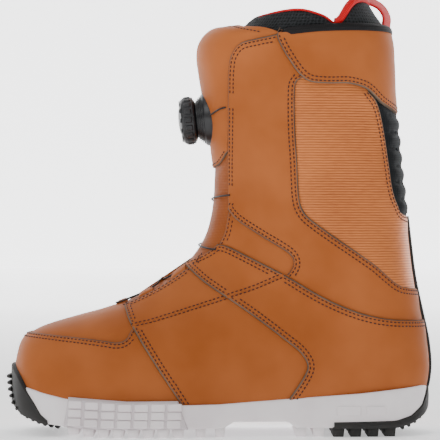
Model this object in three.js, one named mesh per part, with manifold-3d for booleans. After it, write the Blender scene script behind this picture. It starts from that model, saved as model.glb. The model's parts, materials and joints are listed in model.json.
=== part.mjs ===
// A left-foot snowboard boot with a dial-and-cable closure, in millimetres.
// The toe points to -X, the lateral side is -Y and +Z is up. The origin lies on the ground under the
// middle of the boot's length. The upper, its stiffeners and the liner are nested skins of one boot
// form, cut apart along shared seam lines, so that neighbours always keep the same joint between them.
import * as THREE from "three";
import { mergeVertices } from "three/addons/utils/BufferGeometryUtils.js";
import Module from "manifold-3d";

const wasm = await Module();
wasm.setup();

// ---------------------------------------------------------------- driving dimensions
const GAP = 0.3; // clearance between neighbouring pieces
const SEAM = 0.6; // width of the joint between two panels
const TONGUE_GAP = 1.4; // running clearance round the swinging tongue
const LEATHER = 1.8; // thickness of the outer panels
const STIFFENER = 1.7; // thickness of the puff, counter and lining behind them
const BINDING_HIGH = 3; // height of the collar's binding
const LINER_PLAY = 0.6; // between the shell's inside and the liner
const LINER_FOAM = 8; // thickness of the liner's wall
const REACH = 200; // longer than anything that is cut

const BOARD_THICK = 2.6; // lasting board
const LINER_SOLE = 5; // foam under the foot
const FOOTBED_THICK = 4;

const TREAD = 6.5; // height of the lugs
const SOLE_FLARE = 2.5; // how far the sole stands out from the board's outline
const SHANK = { from: -42, to: 52, width: 22, thick: 2 };
const HEEL_PAD = { x: 106, radius: 24, thick: 5 };

const STRIP_HALF = 14; // half width of the throat strip on the instep
const BACKSTAY_HALF = 6; // half width of the strip down the heel
const BACKSTAY_TOP = 154.6;

const DIAL = {
  z: 223, // height of the dial's centre on the tongue
  tilt: 6, // degrees that its axis points down
  flangeRadius: 20,
  flangeThick: 1.6,
  baseRadius: 18,
  neckRadius: 12.5,
  baseHeight: 8.2,
  cupRadius: 10.2,
  cupFloor: 2.4,
  postRadius: 2.6,
  spoolRadius: 9.4,
  knobRadius: 15.2,
  gripRadius: 16.8,
  knobStart: 8.9,
  knobEnd: 18.6,
  travel: 3, // how far the knob pulls out
};

const LACE = 1.2; // diameter of the cable
// The cable's guides on the instep: x ranges, and how far out of the middle they lie.
const GUIDES = {
  toe: [-73, -66.5], front: [-57, -48], rear: [-34, -25], from: 4.5, to: 12.5, toeHalf: 2.8,
  thick: 2.2,
};

// The boot form. Each station is one flat section: where it meets the front profile and the back (or
// bottom) profile in side view, the shift of its middle to the medial side, its half width, how far
// back along the section it is widest, and the exponents that make its front and back halves rounder
// (2) or squarer. Station 0 is the tip of the toe and the last two lie above the collar.
const STATIONS = [
  { front: [-145.5, 47], back: [-145.5, 47], shift: 6, half: 0, widest: 0.5, round: [2, 2] },
  { front: [-144.8, 54], back: [-145, 40], shift: 6, half: 9.5, widest: 0.5, round: [2, 2.2] },
  { front: [-141.5, 64], back: [-142.8, 29], shift: 5.8, half: 21, widest: 0.52, round: [2.1, 2.3] },
  { front: [-134, 71.3], back: [-137, 18], shift: 5, half: 32, widest: 0.57, round: [2.15, 2.6] },
  { front: [-120.5, 77], back: [-124, 8.5], shift: 3.8, half: 42, widest: 0.62, round: [2.15, 3] },
  { front: [-102, 82.5], back: [-104, 5], shift: 2.2, half: 48.5, widest: 0.65, round: [2.1, 3.3] },
  { front: [-82, 88], back: [-79, 4], shift: 0.8, half: 51.8, widest: 0.67, round: [2.1, 3.5] },
  { front: [-64, 94.5], back: [-52, 4], shift: 0.2, half: 51.8, widest: 0.68, round: [2, 3.5] },
  { front: [-49, 102], back: [-24, 4], shift: 0, half: 49.8, widest: 0.68, round: [2, 3.5] },
  { front: [-36.5, 110], back: [6, 4.5], shift: 0, half: 47.2, widest: 0.68, round: [2, 3.4] },
  { front: [-25.5, 118.5], back: [38, 5], shift: 0, half: 45, widest: 0.66, round: [2, 3.2] },
  { front: [-16, 128.5], back: [70, 6], shift: 0, half: 43.5, widest: 0.62, round: [2, 3] },
  { front: [-9.5, 140], back: [100, 7], shift: 0, half: 42.5, widest: 0.58, round: [2, 2.9] },
  { front: [-5.8, 152.5], back: [126, 11], shift: 0, half: 42, widest: 0.56, round: [2.05, 2.8] },
  { front: [-3.8, 166], back: [142, 23], shift: 0, half: 42.5, widest: 0.54, round: [2.1, 2.7] },
  { front: [-3.2, 180], back: [147.8, 43], shift: 0, half: 43.5, widest: 0.52, round: [2.1, 2.6] },
  { front: [-4.3, 195], back: [146.6, 65], shift: 0, half: 44.5, widest: 0.5, round: [2.15, 2.5] },
  { front: [-6.5, 210], back: [141.8, 88], shift: 0, half: 45.5, widest: 0.5, round: [2.2, 2.45] },
  { front: [-9, 225], back: [137, 111], shift: 0, half: 46.5, widest: 0.49, round: [2.2, 2.4] },
  { front: [-11.5, 240], back: [133.8, 136], shift: 0, half: 47.5, widest: 0.48, round: [2.2, 2.4] },
  { front: [-13.8, 254], back: [130.5, 166], shift: 0, half: 49, widest: 0.48, round: [2.2, 2.4] },
  { front: [-15.3, 266.5], back: [127, 198], shift: 0, half: 50.5, widest: 0.48, round: [2.2, 2.4] },
  { front: [-13.5, 276.5], back: [124.2, 232], shift: 0, half: 52, widest: 0.48, round: [2.2, 2.4] },
  { front: [-6, 284.5], back: [123, 263], shift: 0, half: 53, widest: 0.48, round: [2.2, 2.4] },
  { front: [8, 288.5], back: [121, 286.5], shift: 0, half: 53, widest: 0.48, round: [2.2, 2.4] },
  { front: [18, 298], back: [113.5, 299], shift: 0, half: 52.5, widest: 0.48, round: [2.2, 2.4] },
  { front: [26, 310], back: [106, 311], shift: 0, half: 52, widest: 0.48, round: [2.2, 2.4] },
];
const LAST_STATION = STATIONS.length - 1;
// Rows of facets along the form, closer where it bends, and the facets round each row.
const ROWS = [
  0.35, 0.8, 1.4, 2, 3, 4, 5, 6, 7, 8, 9, 10, 11, 12, 13, 14, 15, 16, 18, 20, 22, 23, 24, 26,
];
const AROUND = 24;
const COARSE_ROWS = [0.8, 2, 3, 4, 6, 8, 9, 10, 11, 12, 13, 14, 15, 16, 18, 21, 24, 26];
const COARSE_AROUND = 16;

// Seam lines in side view, [x, z]. An end that runs past its neighbour lies off the boot.
const SEAMS = {
  toe: [
    [-155, 71], [-133, 70.5], [-113, 69.3], [-94, 67.9], [-80, 66.5], [-71, 65.5], [-64.9, 68],
    [-60.9, 75.4],
  ],
  vampRear: [[-72, 102], [-66.4, 87.8], [-61.6, 77.2], [-45.1, 50.9], [-25.7, 21.8], [-18, 10]],
  side: [[-61.3, 76.6], [-28.7, 86.6], [0.3, 95.9], [23.2, 103.8], [44.6, 112.8]],
  heelFront: [
    [-24.9, 119.3], [-11.1, 107.2], [6.2, 95.6], [24.6, 83], [44, 68.4], [55.5, 59], [60.6, 50],
    [57.6, 41.2], [47.9, 26.6], [37, 10],
  ],
  ankle: [
    [-1.5, 133.6], [6.2, 132], [19.7, 125.4], [46, 112.1], [62.5, 102.3], [78, 94.1], [97.4, 86.4],
    [116.9, 82], [137.2, 80.5], [158, 80],
  ],
  window: [
    [6, 158.6], [12.8, 150.5], [29.4, 139.3], [43.9, 130.5], [49.9, 125.6], [51.3, 120.8],
    [49.5, 116], [46, 112.1],
  ],
  rearPanel: [
    [58, 249.5], [53, 246.5], [51.6, 239], [51.8, 215.7], [53.3, 191.4], [54.7, 167.2],
    [57.6, 157.5], [63.4, 150.9], [78, 140.2], [93.5, 129.5], [107.1, 119.8], [116.9, 111.1],
    [123.6, 105.8], [131.4, 103.3], [158, 100],
  ],
  bellows: [
    [103, 240.4], [109, 231.3], [113, 215.7], [116.9, 191.4], [119.8, 172.1], [123.6, 161.3],
    [128.5, 154.6], [150, 150.5],
  ],
  collar: [
    [41.5, 284], [39.5, 277.5], [43, 269.1], [48.9, 259.4], [54.7, 251.6], [62, 246.4],
    [74.1, 245.1], [87.7, 245.3], [97.4, 243.4], [103.2, 240.5], [109, 235.2], [114.9, 230.8],
    [140, 218],
  ],
  tongue: [
    [50, 289], [40, 279.8], [27, 276.5], [15, 273.5], [8.5, 266], [6.4, 255], [6.2, 237],
    [6.2, 199], [6.3, 160], [5, 146], [2, 137.5], [-3, 131.8], [-10, 126.7], [-18, 122.7],
    [-27, 118.2], [-42, 111.8],
  ],
  overlay: [[-22, 184.5], [-4.5, 188.3], [0.3, 190.7], [6.1, 199.3]],
};
const SHELL_RIM = [
  [-60, 288.5], [5, 288.5], [17, 286.3], [30, 284.7], [39, 281.6], [43, 280.4], [70, 283.2],
  [113, 284.6], [160, 284.6],
];
const LINER_RIM = [
  [-60, 287], [14, 287], [31, 292], [54, 295], [71, 290.8], [81, 286.5], [90, 299], [97, 303.6],
  [106, 302.5], [118, 297], [160, 297],
];
const BOARD_TOP = [
  [-170, 28], [-140, 25], [-120, 20], [-80, 17.5], [0, 18], [60, 20.5], [110, 23], [170, 25],
];
const PUFF_REAR = [[-90, 110], [-88, 60], [-84, 5]];
const COUNTER_EDGE = [[62, 5], [66, 45], [84, 78], [112, 98], [165, 104]];

// Sole outline from above: x, then the lateral and the medial edge of the board.
const OUTLINE = [
  [-144.8, 5, 5], [-142, -12.5, 23], [-135.5, -26.5, 36.5], [-121, -38, 46], [-102, -46, 50.5],
  [-79, -50.5, 52.2], [-50, -52.2, 51], [-20, -49.5, 47.5], [12, -44.5, 44], [45, -41, 41.5],
  [77, -39.5, 40], [104, -38.5, 39], [127, -33, 33.5], [140.2, -21, 21], [144.3, 0, 0],
];
// Top edge of the sole's wall, its underside between the treads, and the ground line of the treads.
const WALL_TOP = [
  [-170, 40], [-133, 33.5], [-120, 30], [-106, 27], [-64, 24.8], [-27, 23], [0, 23.4], [48, 26.8],
  [97, 30.3], [141, 35], [170, 38],
];
const UNDERSIDE = [
  [-170, 40], [-145, 22], [-136, 14.5], [-122, 9.5], [-104, TREAD + 1.2], [-84, TREAD], [2, TREAD],
  [9, 11], [47, 11], [53, TREAD], [122, TREAD], [133, 9.5], [141, 15], [147, 24], [170, 60],
];
const TOE_RUBBER = {
  rear: -113, thick: 3.4, leanFrom: 27,
  top: [[-170, 50], [-141, 50], [-139.5, 38], [-136, 26], [-127, 14], [-113, 11]],
};
const HEEL_RUBBER = {
  front: 78, thick: 2.7,
  top: [[78, 10.5], [122, 11.3], [132, 14.5], [139, 21], [141, 30], [142.5, 38], [170, 38]],
};

// ---------------------------------------------------------------- materials
const finish = (color, roughness, metalness = 0) =>
  new THREE.MeshStandardMaterial({ color, roughness, metalness });
const TAN = finish("#b97a48", 0.6);
const COPPER_CLOTH = finish("#c06c38", 0.5);
const WHITE_FOAM = finish("#e9e6e8", 0.7);
const BLACK_RUBBER = finish("#333231", 0.85);
const BLACK_PLASTIC = finish("#26262a", 0.4);
const BLACK_MESH = finish("#34383a", 0.9);
const RED_WEBBING = finish("#de1f26", 0.7);
const BOARD = finish("#8b7a63", 0.9);
const STEEL = finish("#4a4643", 0.35, 0.8);

// ---------------------------------------------------------------- solids
// A closed geometry as a manifold-3d solid, turned the right way round.
function solid(geometry) {
  const bare = geometry.index ? geometry.toNonIndexed() : geometry.clone();
  for (const name of Object.keys(bare.attributes)) {
    if (name !== "position") bare.deleteAttribute(name);
  }
  const merged = mergeVertices(bare, 1e-4);
  const triVerts = new Uint32Array(merged.index.array);
  const vertProperties = merged.attributes.position.array;
  const made = new wasm.Manifold(new wasm.Mesh({ numProp: 3, vertProperties, triVerts }));
  if (made.volume() >= 0) return made;
  return new wasm.Manifold(new wasm.Mesh({ numProp: 3, vertProperties, triVerts: triVerts.reverse() }));
}

function geometryOf(body) {
  const made = body.getMesh();
  const positions = new Float32Array(made.numVert * 3);
  for (let i = 0; i < made.numVert; i++) {
    positions.set(made.vertProperties.subarray(i * made.numProp, i * made.numProp + 3), i * 3);
  }
  return new THREE.BufferGeometry()
    .setAttribute("position", new THREE.BufferAttribute(positions, 3))
    .setIndex(new THREE.BufferAttribute(new Uint32Array(made.triVerts), 1));
}

const largest = (body) => body.decompose().sort((a, b) => b.volume() - a.volume())[0];

// An outline in side view, [x, z], as a prism from y = from to y = to.
function sidePrism(outline, from = -REACH, to = REACH) {
  const shape = new THREE.Shape(outline.map(([x, z]) => new THREE.Vector2(x, z)));
  const geometry = new THREE.ExtrudeGeometry(shape, { depth: to - from, bevelEnabled: false });
  geometry.rotateX(Math.PI / 2).translate(0, to, 0);
  return solid(geometry);
}

// An outline seen from above, [x, y], as a prism from z = from to z = to.
function planPrism(outline, from, to) {
  const shape = new THREE.Shape(outline.map(([x, y]) => new THREE.Vector2(x, y)));
  const geometry = new THREE.ExtrudeGeometry(shape, { depth: to - from, bevelEnabled: false });
  return solid(geometry.translate(0, 0, from));
}

function block(from, to) {
  const size = to.map((v, i) => v - from[i]);
  const middle = to.map((v, i) => (v + from[i]) / 2);
  return solid(new THREE.BoxGeometry(...size).translate(...middle));
}

const raised = (line, by) => line.map(([x, z]) => [x, z + by]);
const FAR = REACH * 2;
const closedBy = (line, z) => [...line, [FAR, line.at(-1)[1]], [FAR, z], [-FAR, z], [-FAR, line[0][1]]];
const below = (line) => sidePrism(closedBy(line, -REACH));
const above = (line) => sidePrism(closedBy(line, REACH * 3));

function smooth(points, steps = Math.round(points.length * 1.4)) {
  const curve = new THREE.SplineCurve(points.map(([x, z]) => new THREE.Vector2(x, z)));
  return curve.getPoints(steps).map((p) => [p.x, p.y]);
}

// A thin wall that follows a seam line and parts the pieces on its two sides.
function ribbon(points, width, from = -REACH, to = REACH) {
  const line = smooth(points);
  const side = (sign) =>
    line.map(([x, z], i) => {
      const [ax, az] = line[Math.max(i - 1, 0)];
      const [bx, bz] = line[Math.min(i + 1, line.length - 1)];
      const length = Math.hypot(bx - ax, bz - az);
      return [
        x - (sign * width * (bz - az)) / (2 * length),
        z + (sign * width * (bx - ax)) / (2 * length),
      ];
    });
  return sidePrism([...side(1), ...side(-1).reverse()], from, to);
}

const ribbonPair = (points, width, clear) =>
  ribbon(points, width, -REACH, -clear).add(ribbon(points, width, clear, REACH));

// ---------------------------------------------------------------- the boot form
const mix = (a, b, c, d, t) =>
  0.5 * (2 * b + (c - a) * t + (2 * a - 5 * b + 4 * c - d) * t * t + (3 * b - a - 3 * c + d) * t * t * t);

// Before station 0 the form goes on mirrored, so that the toe closes round, and after the last it runs
// on straight.
function station(i) {
  if (i < 0) {
    const s = STATIONS[-i];
    return {
      front: s.back, back: s.front, shift: s.shift, half: -s.half, widest: s.widest, round: s.round,
    };
  }
  if (i <= LAST_STATION) return STATIONS[i];
  const [s, p] = [STATIONS[LAST_STATION], STATIONS[LAST_STATION - 1]];
  const on = (a, b) => a.map((v, k) => 2 * v - b[k]);
  return { ...s, front: on(s.front, p.front), back: on(s.back, p.back), half: 2 * s.half - p.half };
}

function sectionAt(u) {
  const i = Math.min(Math.floor(u), LAST_STATION - 1);
  const four = [i - 1, i, i + 1, i + 2].map(station);
  const value = (pick) => mix(...four.map(pick), u - i);
  const pair = (key) => [value((s) => s[key][0]), value((s) => s[key][1])];
  return {
    front: pair("front"),
    back: pair("back"),
    shift: value((s) => s.shift),
    half: value((s) => s.half),
    widest: value((s) => s.widest),
    round: pair("round"),
  };
}

const between = (a, b, t) => [a[0] + t * (b[0] - a[0]), a[1] + t * (b[1] - a[1])];

// The section at u, moved inwards by inset all round.
function insetSection(u, inset) {
  const [s, p, n] = [
    sectionAt(u), sectionAt(Math.max(u - 0.02, 0)), sectionAt(Math.min(u + 0.02, LAST_STATION)),
  ];
  const moved = (key, sign) => {
    const [dx, dz] = [n[key][0] - p[key][0], n[key][1] - p[key][1]];
    const length = Math.hypot(dx, dz) || 1;
    return [s[key][0] + (sign * inset * dz) / length, s[key][1] - (sign * inset * dx) / length];
  };
  const wide = (q) => between(q.front, q.back, q.widest);
  const along = Math.hypot(wide(n)[0] - wide(p)[0], wide(n)[1] - wide(p)[1]);
  const out = along / Math.hypot(along, n.half - p.half);
  return { ...s, front: moved("front", 1), back: moved("back", -1), half: s.half - inset * out };
}

// A point of the form: u runs from the toe (0) to above the collar, angle from the front (0) round the
// medial side (positive) or the lateral side (negative) to the back (half a turn).
function pointOn(u, angle, inset) {
  const s = insetSection(u, inset);
  const [c, d] = [Math.cos(angle), Math.abs(Math.sin(angle))];
  const power = c > 0 ? s.round[0] : s.round[1];
  const r = (Math.abs(c) ** power + d ** power) ** (-1 / power);
  const t = c > 0 ? s.widest * (1 - r * c) : s.widest - (1 - s.widest) * r * c;
  const [x, z] = between(s.front, s.back, t);
  return new THREE.Vector3(x, s.shift + Math.sign(Math.sin(angle)) * s.half * r * d, z);
}

// The whole form, moved inwards by inset, as one closed solid.
function form(inset, rows = ROWS, around = AROUND) {
  const tip = insetSection(0, inset);
  const nose = STATIONS[0].front[0] + inset;
  const points = [new THREE.Vector3(nose, tip.shift, STATIONS[0].front[1])];
  for (const u of rows) {
    for (let j = 0; j < around; j++) points.push(pointOn(u, (2 * Math.PI * j) / around, inset));
  }
  const top = points.slice(-around).reduce(
    (sum, p) => sum.add(p), new THREE.Vector3(),
  ).divideScalar(around);
  points.push(top);
  const at = (row, j) => 1 + row * around + (j % around);
  const index = [];
  for (let j = 0; j < around; j++) {
    index.push(0, at(0, j + 1), at(0, j));
    index.push(points.length - 1, at(rows.length - 1, j), at(rows.length - 1, j + 1));
    for (let row = 0; row + 1 < rows.length; row++) {
      index.push(at(row, j), at(row, j + 1), at(row + 1, j));
      index.push(at(row, j + 1), at(row + 1, j + 1), at(row + 1, j));
    }
  }
  return solid(new THREE.BufferGeometry().setFromPoints(points).setIndex(index));
}

// ---------------------------------------------------------------- assembly
const boot = new THREE.Group();
boot.name = "snowboard_boot";

function place(name, body, material, parent = boot) {
  const mesh = new THREE.Mesh(geometryOf(body), material);
  mesh.name = name;
  parent.add(mesh);
  return mesh;
}

// Depth of each skin below the outer face.
const DEPTH = { stiffener: LEATHER + GAP };
DEPTH.stiffenerIn = DEPTH.stiffener + STIFFENER;
DEPTH.liner = DEPTH.stiffenerIn + LINER_PLAY;
DEPTH.linerIn = DEPTH.liner + LINER_FOAM;

const outside = form(0);
const upperSpace = above(raised(BOARD_TOP, GAP)).intersect(below(SHELL_RIM));

// Walls along the throat strip, only between the vamp and the tongue.
function throatWalls() {
  const walls = [-1, 1].map((side) =>
    block([-72, side * STRIP_HALF - SEAM / 2, 60], [10, side * STRIP_HALF + SEAM / 2, 135]));
  const belowTongue = below([...smooth(SEAMS.tongue)].reverse().filter(([x]) => x < 8));
  const behindVamp = sidePrism([...smooth(SEAMS.vampRear), [100, 10], [100, 140], [-72, 140]]);
  return walls[0].add(walls[1]).intersect(belowTongue).intersect(behindVamp);
}

const backstayBlock = (grow) =>
  block([100, -BACKSTAY_HALF - grow, 0], [170, BACKSTAY_HALF + grow, BACKSTAY_TOP + grow]);

// The piece of a cut skin that a thin probe through (x, z) meets on one side of the boot.
function pieceAt(pieces, x, z, side) {
  const probe = block(
    [x - 0.5, side > 0 ? 0 : -REACH, z - 0.5], [x + 0.5, side > 0 ? REACH : 0, z + 0.5],
  );
  const found = pieces.find((piece) => piece.intersect(probe).volume() > 0.1);
  if (!found) throw new Error(`no panel at ${x}, ${z}`);
  return found;
}

// Outer panels: one skin of leather, cut along the seams.
function addPanels(tongueGroup) {
  const skin = outside.subtract(form(LEATHER)).intersect(upperSpace);
  const cuts = [
    ribbon(SEAMS.toe, SEAM),
    ribbon(SEAMS.vampRear, SEAM),
    ribbon(SEAMS.collar, SEAM),
    ribbon(SEAMS.tongue, TONGUE_GAP),
    ribbon(SEAMS.overlay, SEAM),
    ribbonPair(SEAMS.side, SEAM, STRIP_HALF),
    ribbonPair(SEAMS.heelFront, SEAM, STRIP_HALF),
    ribbonPair(SEAMS.ankle, SEAM, BACKSTAY_HALF),
    ribbonPair(SEAMS.window, SEAM, BACKSTAY_HALF),
    ribbonPair(SEAMS.rearPanel, SEAM, BACKSTAY_HALF),
    ribbonPair(SEAMS.bellows, SEAM, 0),
    throatWalls(),
    backstayBlock(SEAM),
  ];
  const pieces = cuts.reduce((rest, cut) => rest.subtract(cut), skin).decompose();
  const middle = [
    ["toe_cap", -110, 50, TAN],
    ["vamp", -100, 76, TAN],
    ["collar_panel", 90, 265, TAN],
    ["achilles_bellows", 120, 205, BLACK_MESH],
  ];
  for (const [name, x, z, material] of middle) place(name, pieceAt(pieces, x, z, -1), material);
  const sides = [
    ["midfoot_panel", -10, 60, TAN],
    ["instep_panel", -35, 95, TAN],
    ["ankle_strap", 20, 112, TAN],
    ["heel_quarter", 90, 60, TAN],
    ["ankle_insert", 30, 128, TAN],
    ["shaft_quarter", 30, 200, TAN],
    ["rear_panel", 80, 200, COPPER_CLOTH],
  ];
  for (const [name, x, z, material] of sides) {
    place(`${name}_lateral`, pieceAt(pieces, x, z, -1), material);
    place(`${name}_medial`, pieceAt(pieces, x, z, 1), material);
  }
  const strip = pieces.find((piece) => piece.intersect(block([-52, -2, 80], [-46, 2, 120])).volume() > 0.1);
  place("throat_strip", strip, COPPER_CLOTH);
  place("backstay_strip", skin.intersect(backstayBlock(0)).subtract(below(BOARD_TOP)), BLACK_RUBBER);
  place("tongue_overlay", pieceAt(pieces, 0, 255, -1), TAN, tongueGroup);
  place("tongue_body", pieceAt(pieces, 2, 170, -1), COPPER_CLOTH, tongueGroup);
}

// Stiffeners and lining behind the panels.
function addStiffeners(tongueGroup) {
  const skin = form(DEPTH.stiffener).subtract(form(DEPTH.stiffenerIn)).intersect(upperSpace);
  const cuts = [ribbon(SEAMS.tongue, TONGUE_GAP), ribbon(PUFF_REAR, SEAM), ribbon(COUNTER_EDGE, SEAM)];
  const pieces = cuts.reduce((rest, cut) => rest.subtract(cut), skin).decompose();
  place("toe_puff", pieceAt(pieces, -115, 50, -1), BOARD);
  place("heel_counter", pieceAt(pieces, 100, 50, -1), BOARD);
  place("shell_lining", pieceAt(pieces, 30, 200, -1), BLACK_MESH);
  place("tongue_lining", pieceAt(pieces, 0, 230, -1), BLACK_MESH, tongueGroup);
}

// The binding caps the rim of the collar, over the panels and the lining behind them.
function addBinding() {
  const rim = outside.subtract(form(DEPTH.stiffenerIn))
    .intersect(above(raised(SHELL_RIM, GAP)))
    .intersect(below(raised(SHELL_RIM, GAP + BINDING_HIGH)))
    .subtract(ribbon(SEAMS.tongue.slice(0, 4), TONGUE_GAP));
  place("collar_binding", pieceAt(rim.decompose(), 90, 285.5, -1), BLACK_MESH);
}

// The removable liner, with its own tongue, footbed, binding and pull loop.
function addLiner() {
  const body = form(DEPTH.liner).intersect(above(raised(BOARD_TOP, GAP))).intersect(below(LINER_RIM));
  const hollow = form(DEPTH.linerIn, COARSE_ROWS, COARSE_AROUND).intersect(above(raised(
    BOARD_TOP, GAP + LINER_SOLE,
  )));
  const wall = body.subtract(hollow);
  const opening = sidePrism([[-60, 104], [-8, 104], [16, 118], [26, 140], [26, 400], [-60, 400]]);
  const slot = sidePrism([[-60, 103], [-7, 103], [17, 117.5], [27, 140], [27, 400], [-60, 400]]);
  place("liner_shell", largest(wall.subtract(slot)), BLACK_MESH);
  place("liner_tongue", largest(wall.intersect(opening)), BLACK_MESH);
  const bedDepth = DEPTH.linerIn + GAP;
  const bed = form(bedDepth, COARSE_ROWS, COARSE_AROUND)
    .intersect(above(raised(BOARD_TOP, GAP * 2 + LINER_SOLE)))
    .intersect(below(raised(BOARD_TOP, GAP * 2 + LINER_SOLE + FOOTBED_THICK)));
  place("footbed", bed, BOARD);
}

// A flat strap bent along a side-view line, centred on y = 0.
function strap(line, width, thick) {
  return ribbon(line, thick, -width / 2, width / 2);
}

function addPullLoop() {
  const inside = form(DEPTH.liner - GAP).intersect(below(raised(LINER_RIM, GAP)));
  const route = [[99, 297], [101.5, 305], [107, 306.4], [114.5, 302.4], [118.6, 295.5], [118.2, 288.9]];
  place("pull_loop", largest(strap(route, 18, 2).subtract(inside)), RED_WEBBING);
}

// ---------------------------------------------------------------- sole
function outline(grow) {
  const edge = (side) =>
    OUTLINE.map(([x, lateral, medial], i) => {
      const y = side < 0 ? lateral : medial;
      const [px, pl, pm] = OUTLINE[Math.max(i - 1, 0)];
      const [nx, nl, nm] = OUTLINE[Math.min(i + 1, OUTLINE.length - 1)];
      const end = i === 0 ? -1 : i === OUTLINE.length - 1 ? 1 : 0;
      const [dx, dy] = end ? [0, end] : [nx - px, side < 0 ? nl - pl : nm - pm];
      const length = Math.hypot(dx, dy);
      return end ? [x + end * grow, y] : [
        x - (side * grow * dy) / length, y + (side * grow * dx) / length,
      ];
    });
  const loop = [...edge(-1), ...edge(1).slice(1, -1).reverse()];
  const curve = new THREE.CatmullRomCurve3(loop.map(([x, y]) => new THREE.Vector3(x, y, 0)), true);
  return curve.getPoints(loop.length * 2).slice(0, -1).map((p) => [p.x, p.y]);
}

const soleBand = (grow) => planPrism(outline(grow), -1, 60);

// A row of flat-footed lugs across the sole, between two x positions.
function lugs(from, to, count, share, body) {
  const pitch = (to - from) / count;
  let rest = body;
  for (let i = 1; i < count; i++) {
    const x = from + i * pitch;
    const half = (pitch * (1 - share)) / 2;
    rest = rest.subtract(sidePrism([
      [x - half * 1.5, -1], [x - half * 0.6, TREAD - 2], [x + half * 0.6, TREAD - 2],
      [x + half * 1.5, -1],
    ]));
  }
  return rest;
}

function addSole() {
  const boardBottom = raised(BOARD_TOP, -BOARD_THICK);
  const board = form(GAP).intersect(below(BOARD_TOP)).intersect(above(boardBottom));
  place("lasting_board", board, BOARD);

  const seat = form(-GAP).intersect(above(raised(boardBottom, -GAP)));
  const foam = soleBand(SOLE_FLARE).intersect(below(WALL_TOP)).subtract(seat);
  // The shank and the heel pad lie in pockets of the foam, open to the board above them.
  const underBoard = below(raised(boardBottom, -GAP));
  const shankFloor = raised(boardBottom, -GAP * 2 - SHANK.thick);
  const shankBlock = (play) =>
    block([SHANK.from + play, play - SHANK.width / 2, 0], [SHANK.to - play, SHANK.width / 2 - play, 60])
      .intersect(above(raised(shankFloor, play)));
  const padFloor = raised(boardBottom, -GAP * 2 - HEEL_PAD.thick);
  const padDisc = (play) =>
    solid(new THREE.CylinderGeometry(HEEL_PAD.radius - play, HEEL_PAD.radius - play, 60, 24)
      .rotateX(Math.PI / 2)
      .translate(HEEL_PAD.x, 0, 30))
      .intersect(above(raised(padFloor, play)));
  place("shank", shankBlock(GAP).intersect(underBoard), BLACK_PLASTIC);
  place("heel_pad", padDisc(GAP).intersect(underBoard), WHITE_FOAM);

  // Rubber at the toe and the heel wraps the foam from below; the forefoot has its own white tread.
  const outer = soleBand(SOLE_FLARE + GAP);
  const toeZone = below(TOE_RUBBER.top).intersect(block(
    [-170, -REACH, -1], [TOE_RUBBER.rear, REACH, 60],
  ));
  const heelZone = below(HEEL_RUBBER.top).intersect(block(
    [HEEL_RUBBER.front, -REACH, -1], [170, REACH, 60],
  ));
  const foamCore = foam.intersect(above(UNDERSIDE));
  const coreSpace = soleBand(SOLE_FLARE + GAP).intersect(above(raised(UNDERSIDE, -GAP)));
  place("midsole", largest(foamCore.subtract(shankBlock(0)).subtract(padDisc(0))), WHITE_FOAM);

  const toeGround = [[-170, 34], [-149, 30], [-145, 17], [-137, 10], [-127, 5], [-113, 2.6]];
  const low = block([-REACH, -REACH, -1], [REACH, REACH, TOE_RUBBER.leanFrom]);
  const hug = soleBand(SOLE_FLARE + TOE_RUBBER.thick).intersect(low).add(form(-GAP - TOE_RUBBER.thick));
  const toeBand = soleBand(SOLE_FLARE + TOE_RUBBER.thick).intersect(hug);
  const toeTread = toeBand.intersect(toeZone).intersect(above(toeGround));
  place("toe_rubber", largest(toeTread.subtract(coreSpace).subtract(form(-GAP))), BLACK_RUBBER);

  const heelGround = [[70, 0], [120, 0], [131, 3.5], [141, 10], [147, 18], [152, 30], [170, 36]];
  const heelBand = soleBand(SOLE_FLARE + HEEL_RUBBER.thick);
  const heelTread = heelBand.intersect(heelZone).intersect(above(heelGround));
  const heelLugs = lugs(HEEL_RUBBER.front, 122, 4, 0.62, heelTread);
  place("heel_rubber", largest(heelLugs.subtract(coreSpace).subtract(form(-GAP))), BLACK_RUBBER);

  const soleRear = 2;
  const foreGround = [[-113, 3.2], [-95, 1.2], [-75, 0], [soleRear, 0]];
  const foreZone = sidePrism([
    ...foreGround, [soleRear, TREAD - GAP], [-84, TREAD - GAP], [-104, TREAD + 0.9], [-113, 8],
  ]);
  const foreTread = lugs(
    -113 + GAP, soleRear, 9, 0.66,
    outer.intersect(foreZone).intersect(block([-113 + GAP, -REACH, -1], [soleRear, REACH, 40])),
  );
  place("forefoot_tread", largest(foreTread.subtract(coreSpace)), WHITE_FOAM);

  const insertZone = sidePrism([
    [52, 0], [HEEL_RUBBER.front - GAP, 0], [HEEL_RUBBER.front - GAP, TREAD - GAP],
    [54, TREAD - GAP],
  ]);
  place(
    "heel_tread_insert", largest(lugs(52, HEEL_RUBBER.front, 2, 0.66, outer.intersect(insertZone))),
    WHITE_FOAM,
  );
}

// ---------------------------------------------------------------- dial
// The dial's own frame on the tongue: +Y points out of the tongue and a little down.
function dialFrame() {
  const group = new THREE.Group();
  const u = STATIONS.findIndex((s) => s.front[1] > DIAL.z) - 1;
  const [a, b] = [STATIONS[u].front, STATIONS[u + 1].front];
  const t = (DIAL.z - a[1]) / (b[1] - a[1]);
  group.position.set(a[0] + t * (b[0] - a[0]), 0, DIAL.z);
  const tilt = THREE.MathUtils.degToRad(DIAL.tilt);
  const outward = new THREE.Vector3(-Math.cos(tilt), 0, -Math.sin(tilt));
  group.quaternion.setFromUnitVectors(new THREE.Vector3(0, 1, 0), outward);
  group.updateMatrixWorld(true);
  return group;
}

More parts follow.
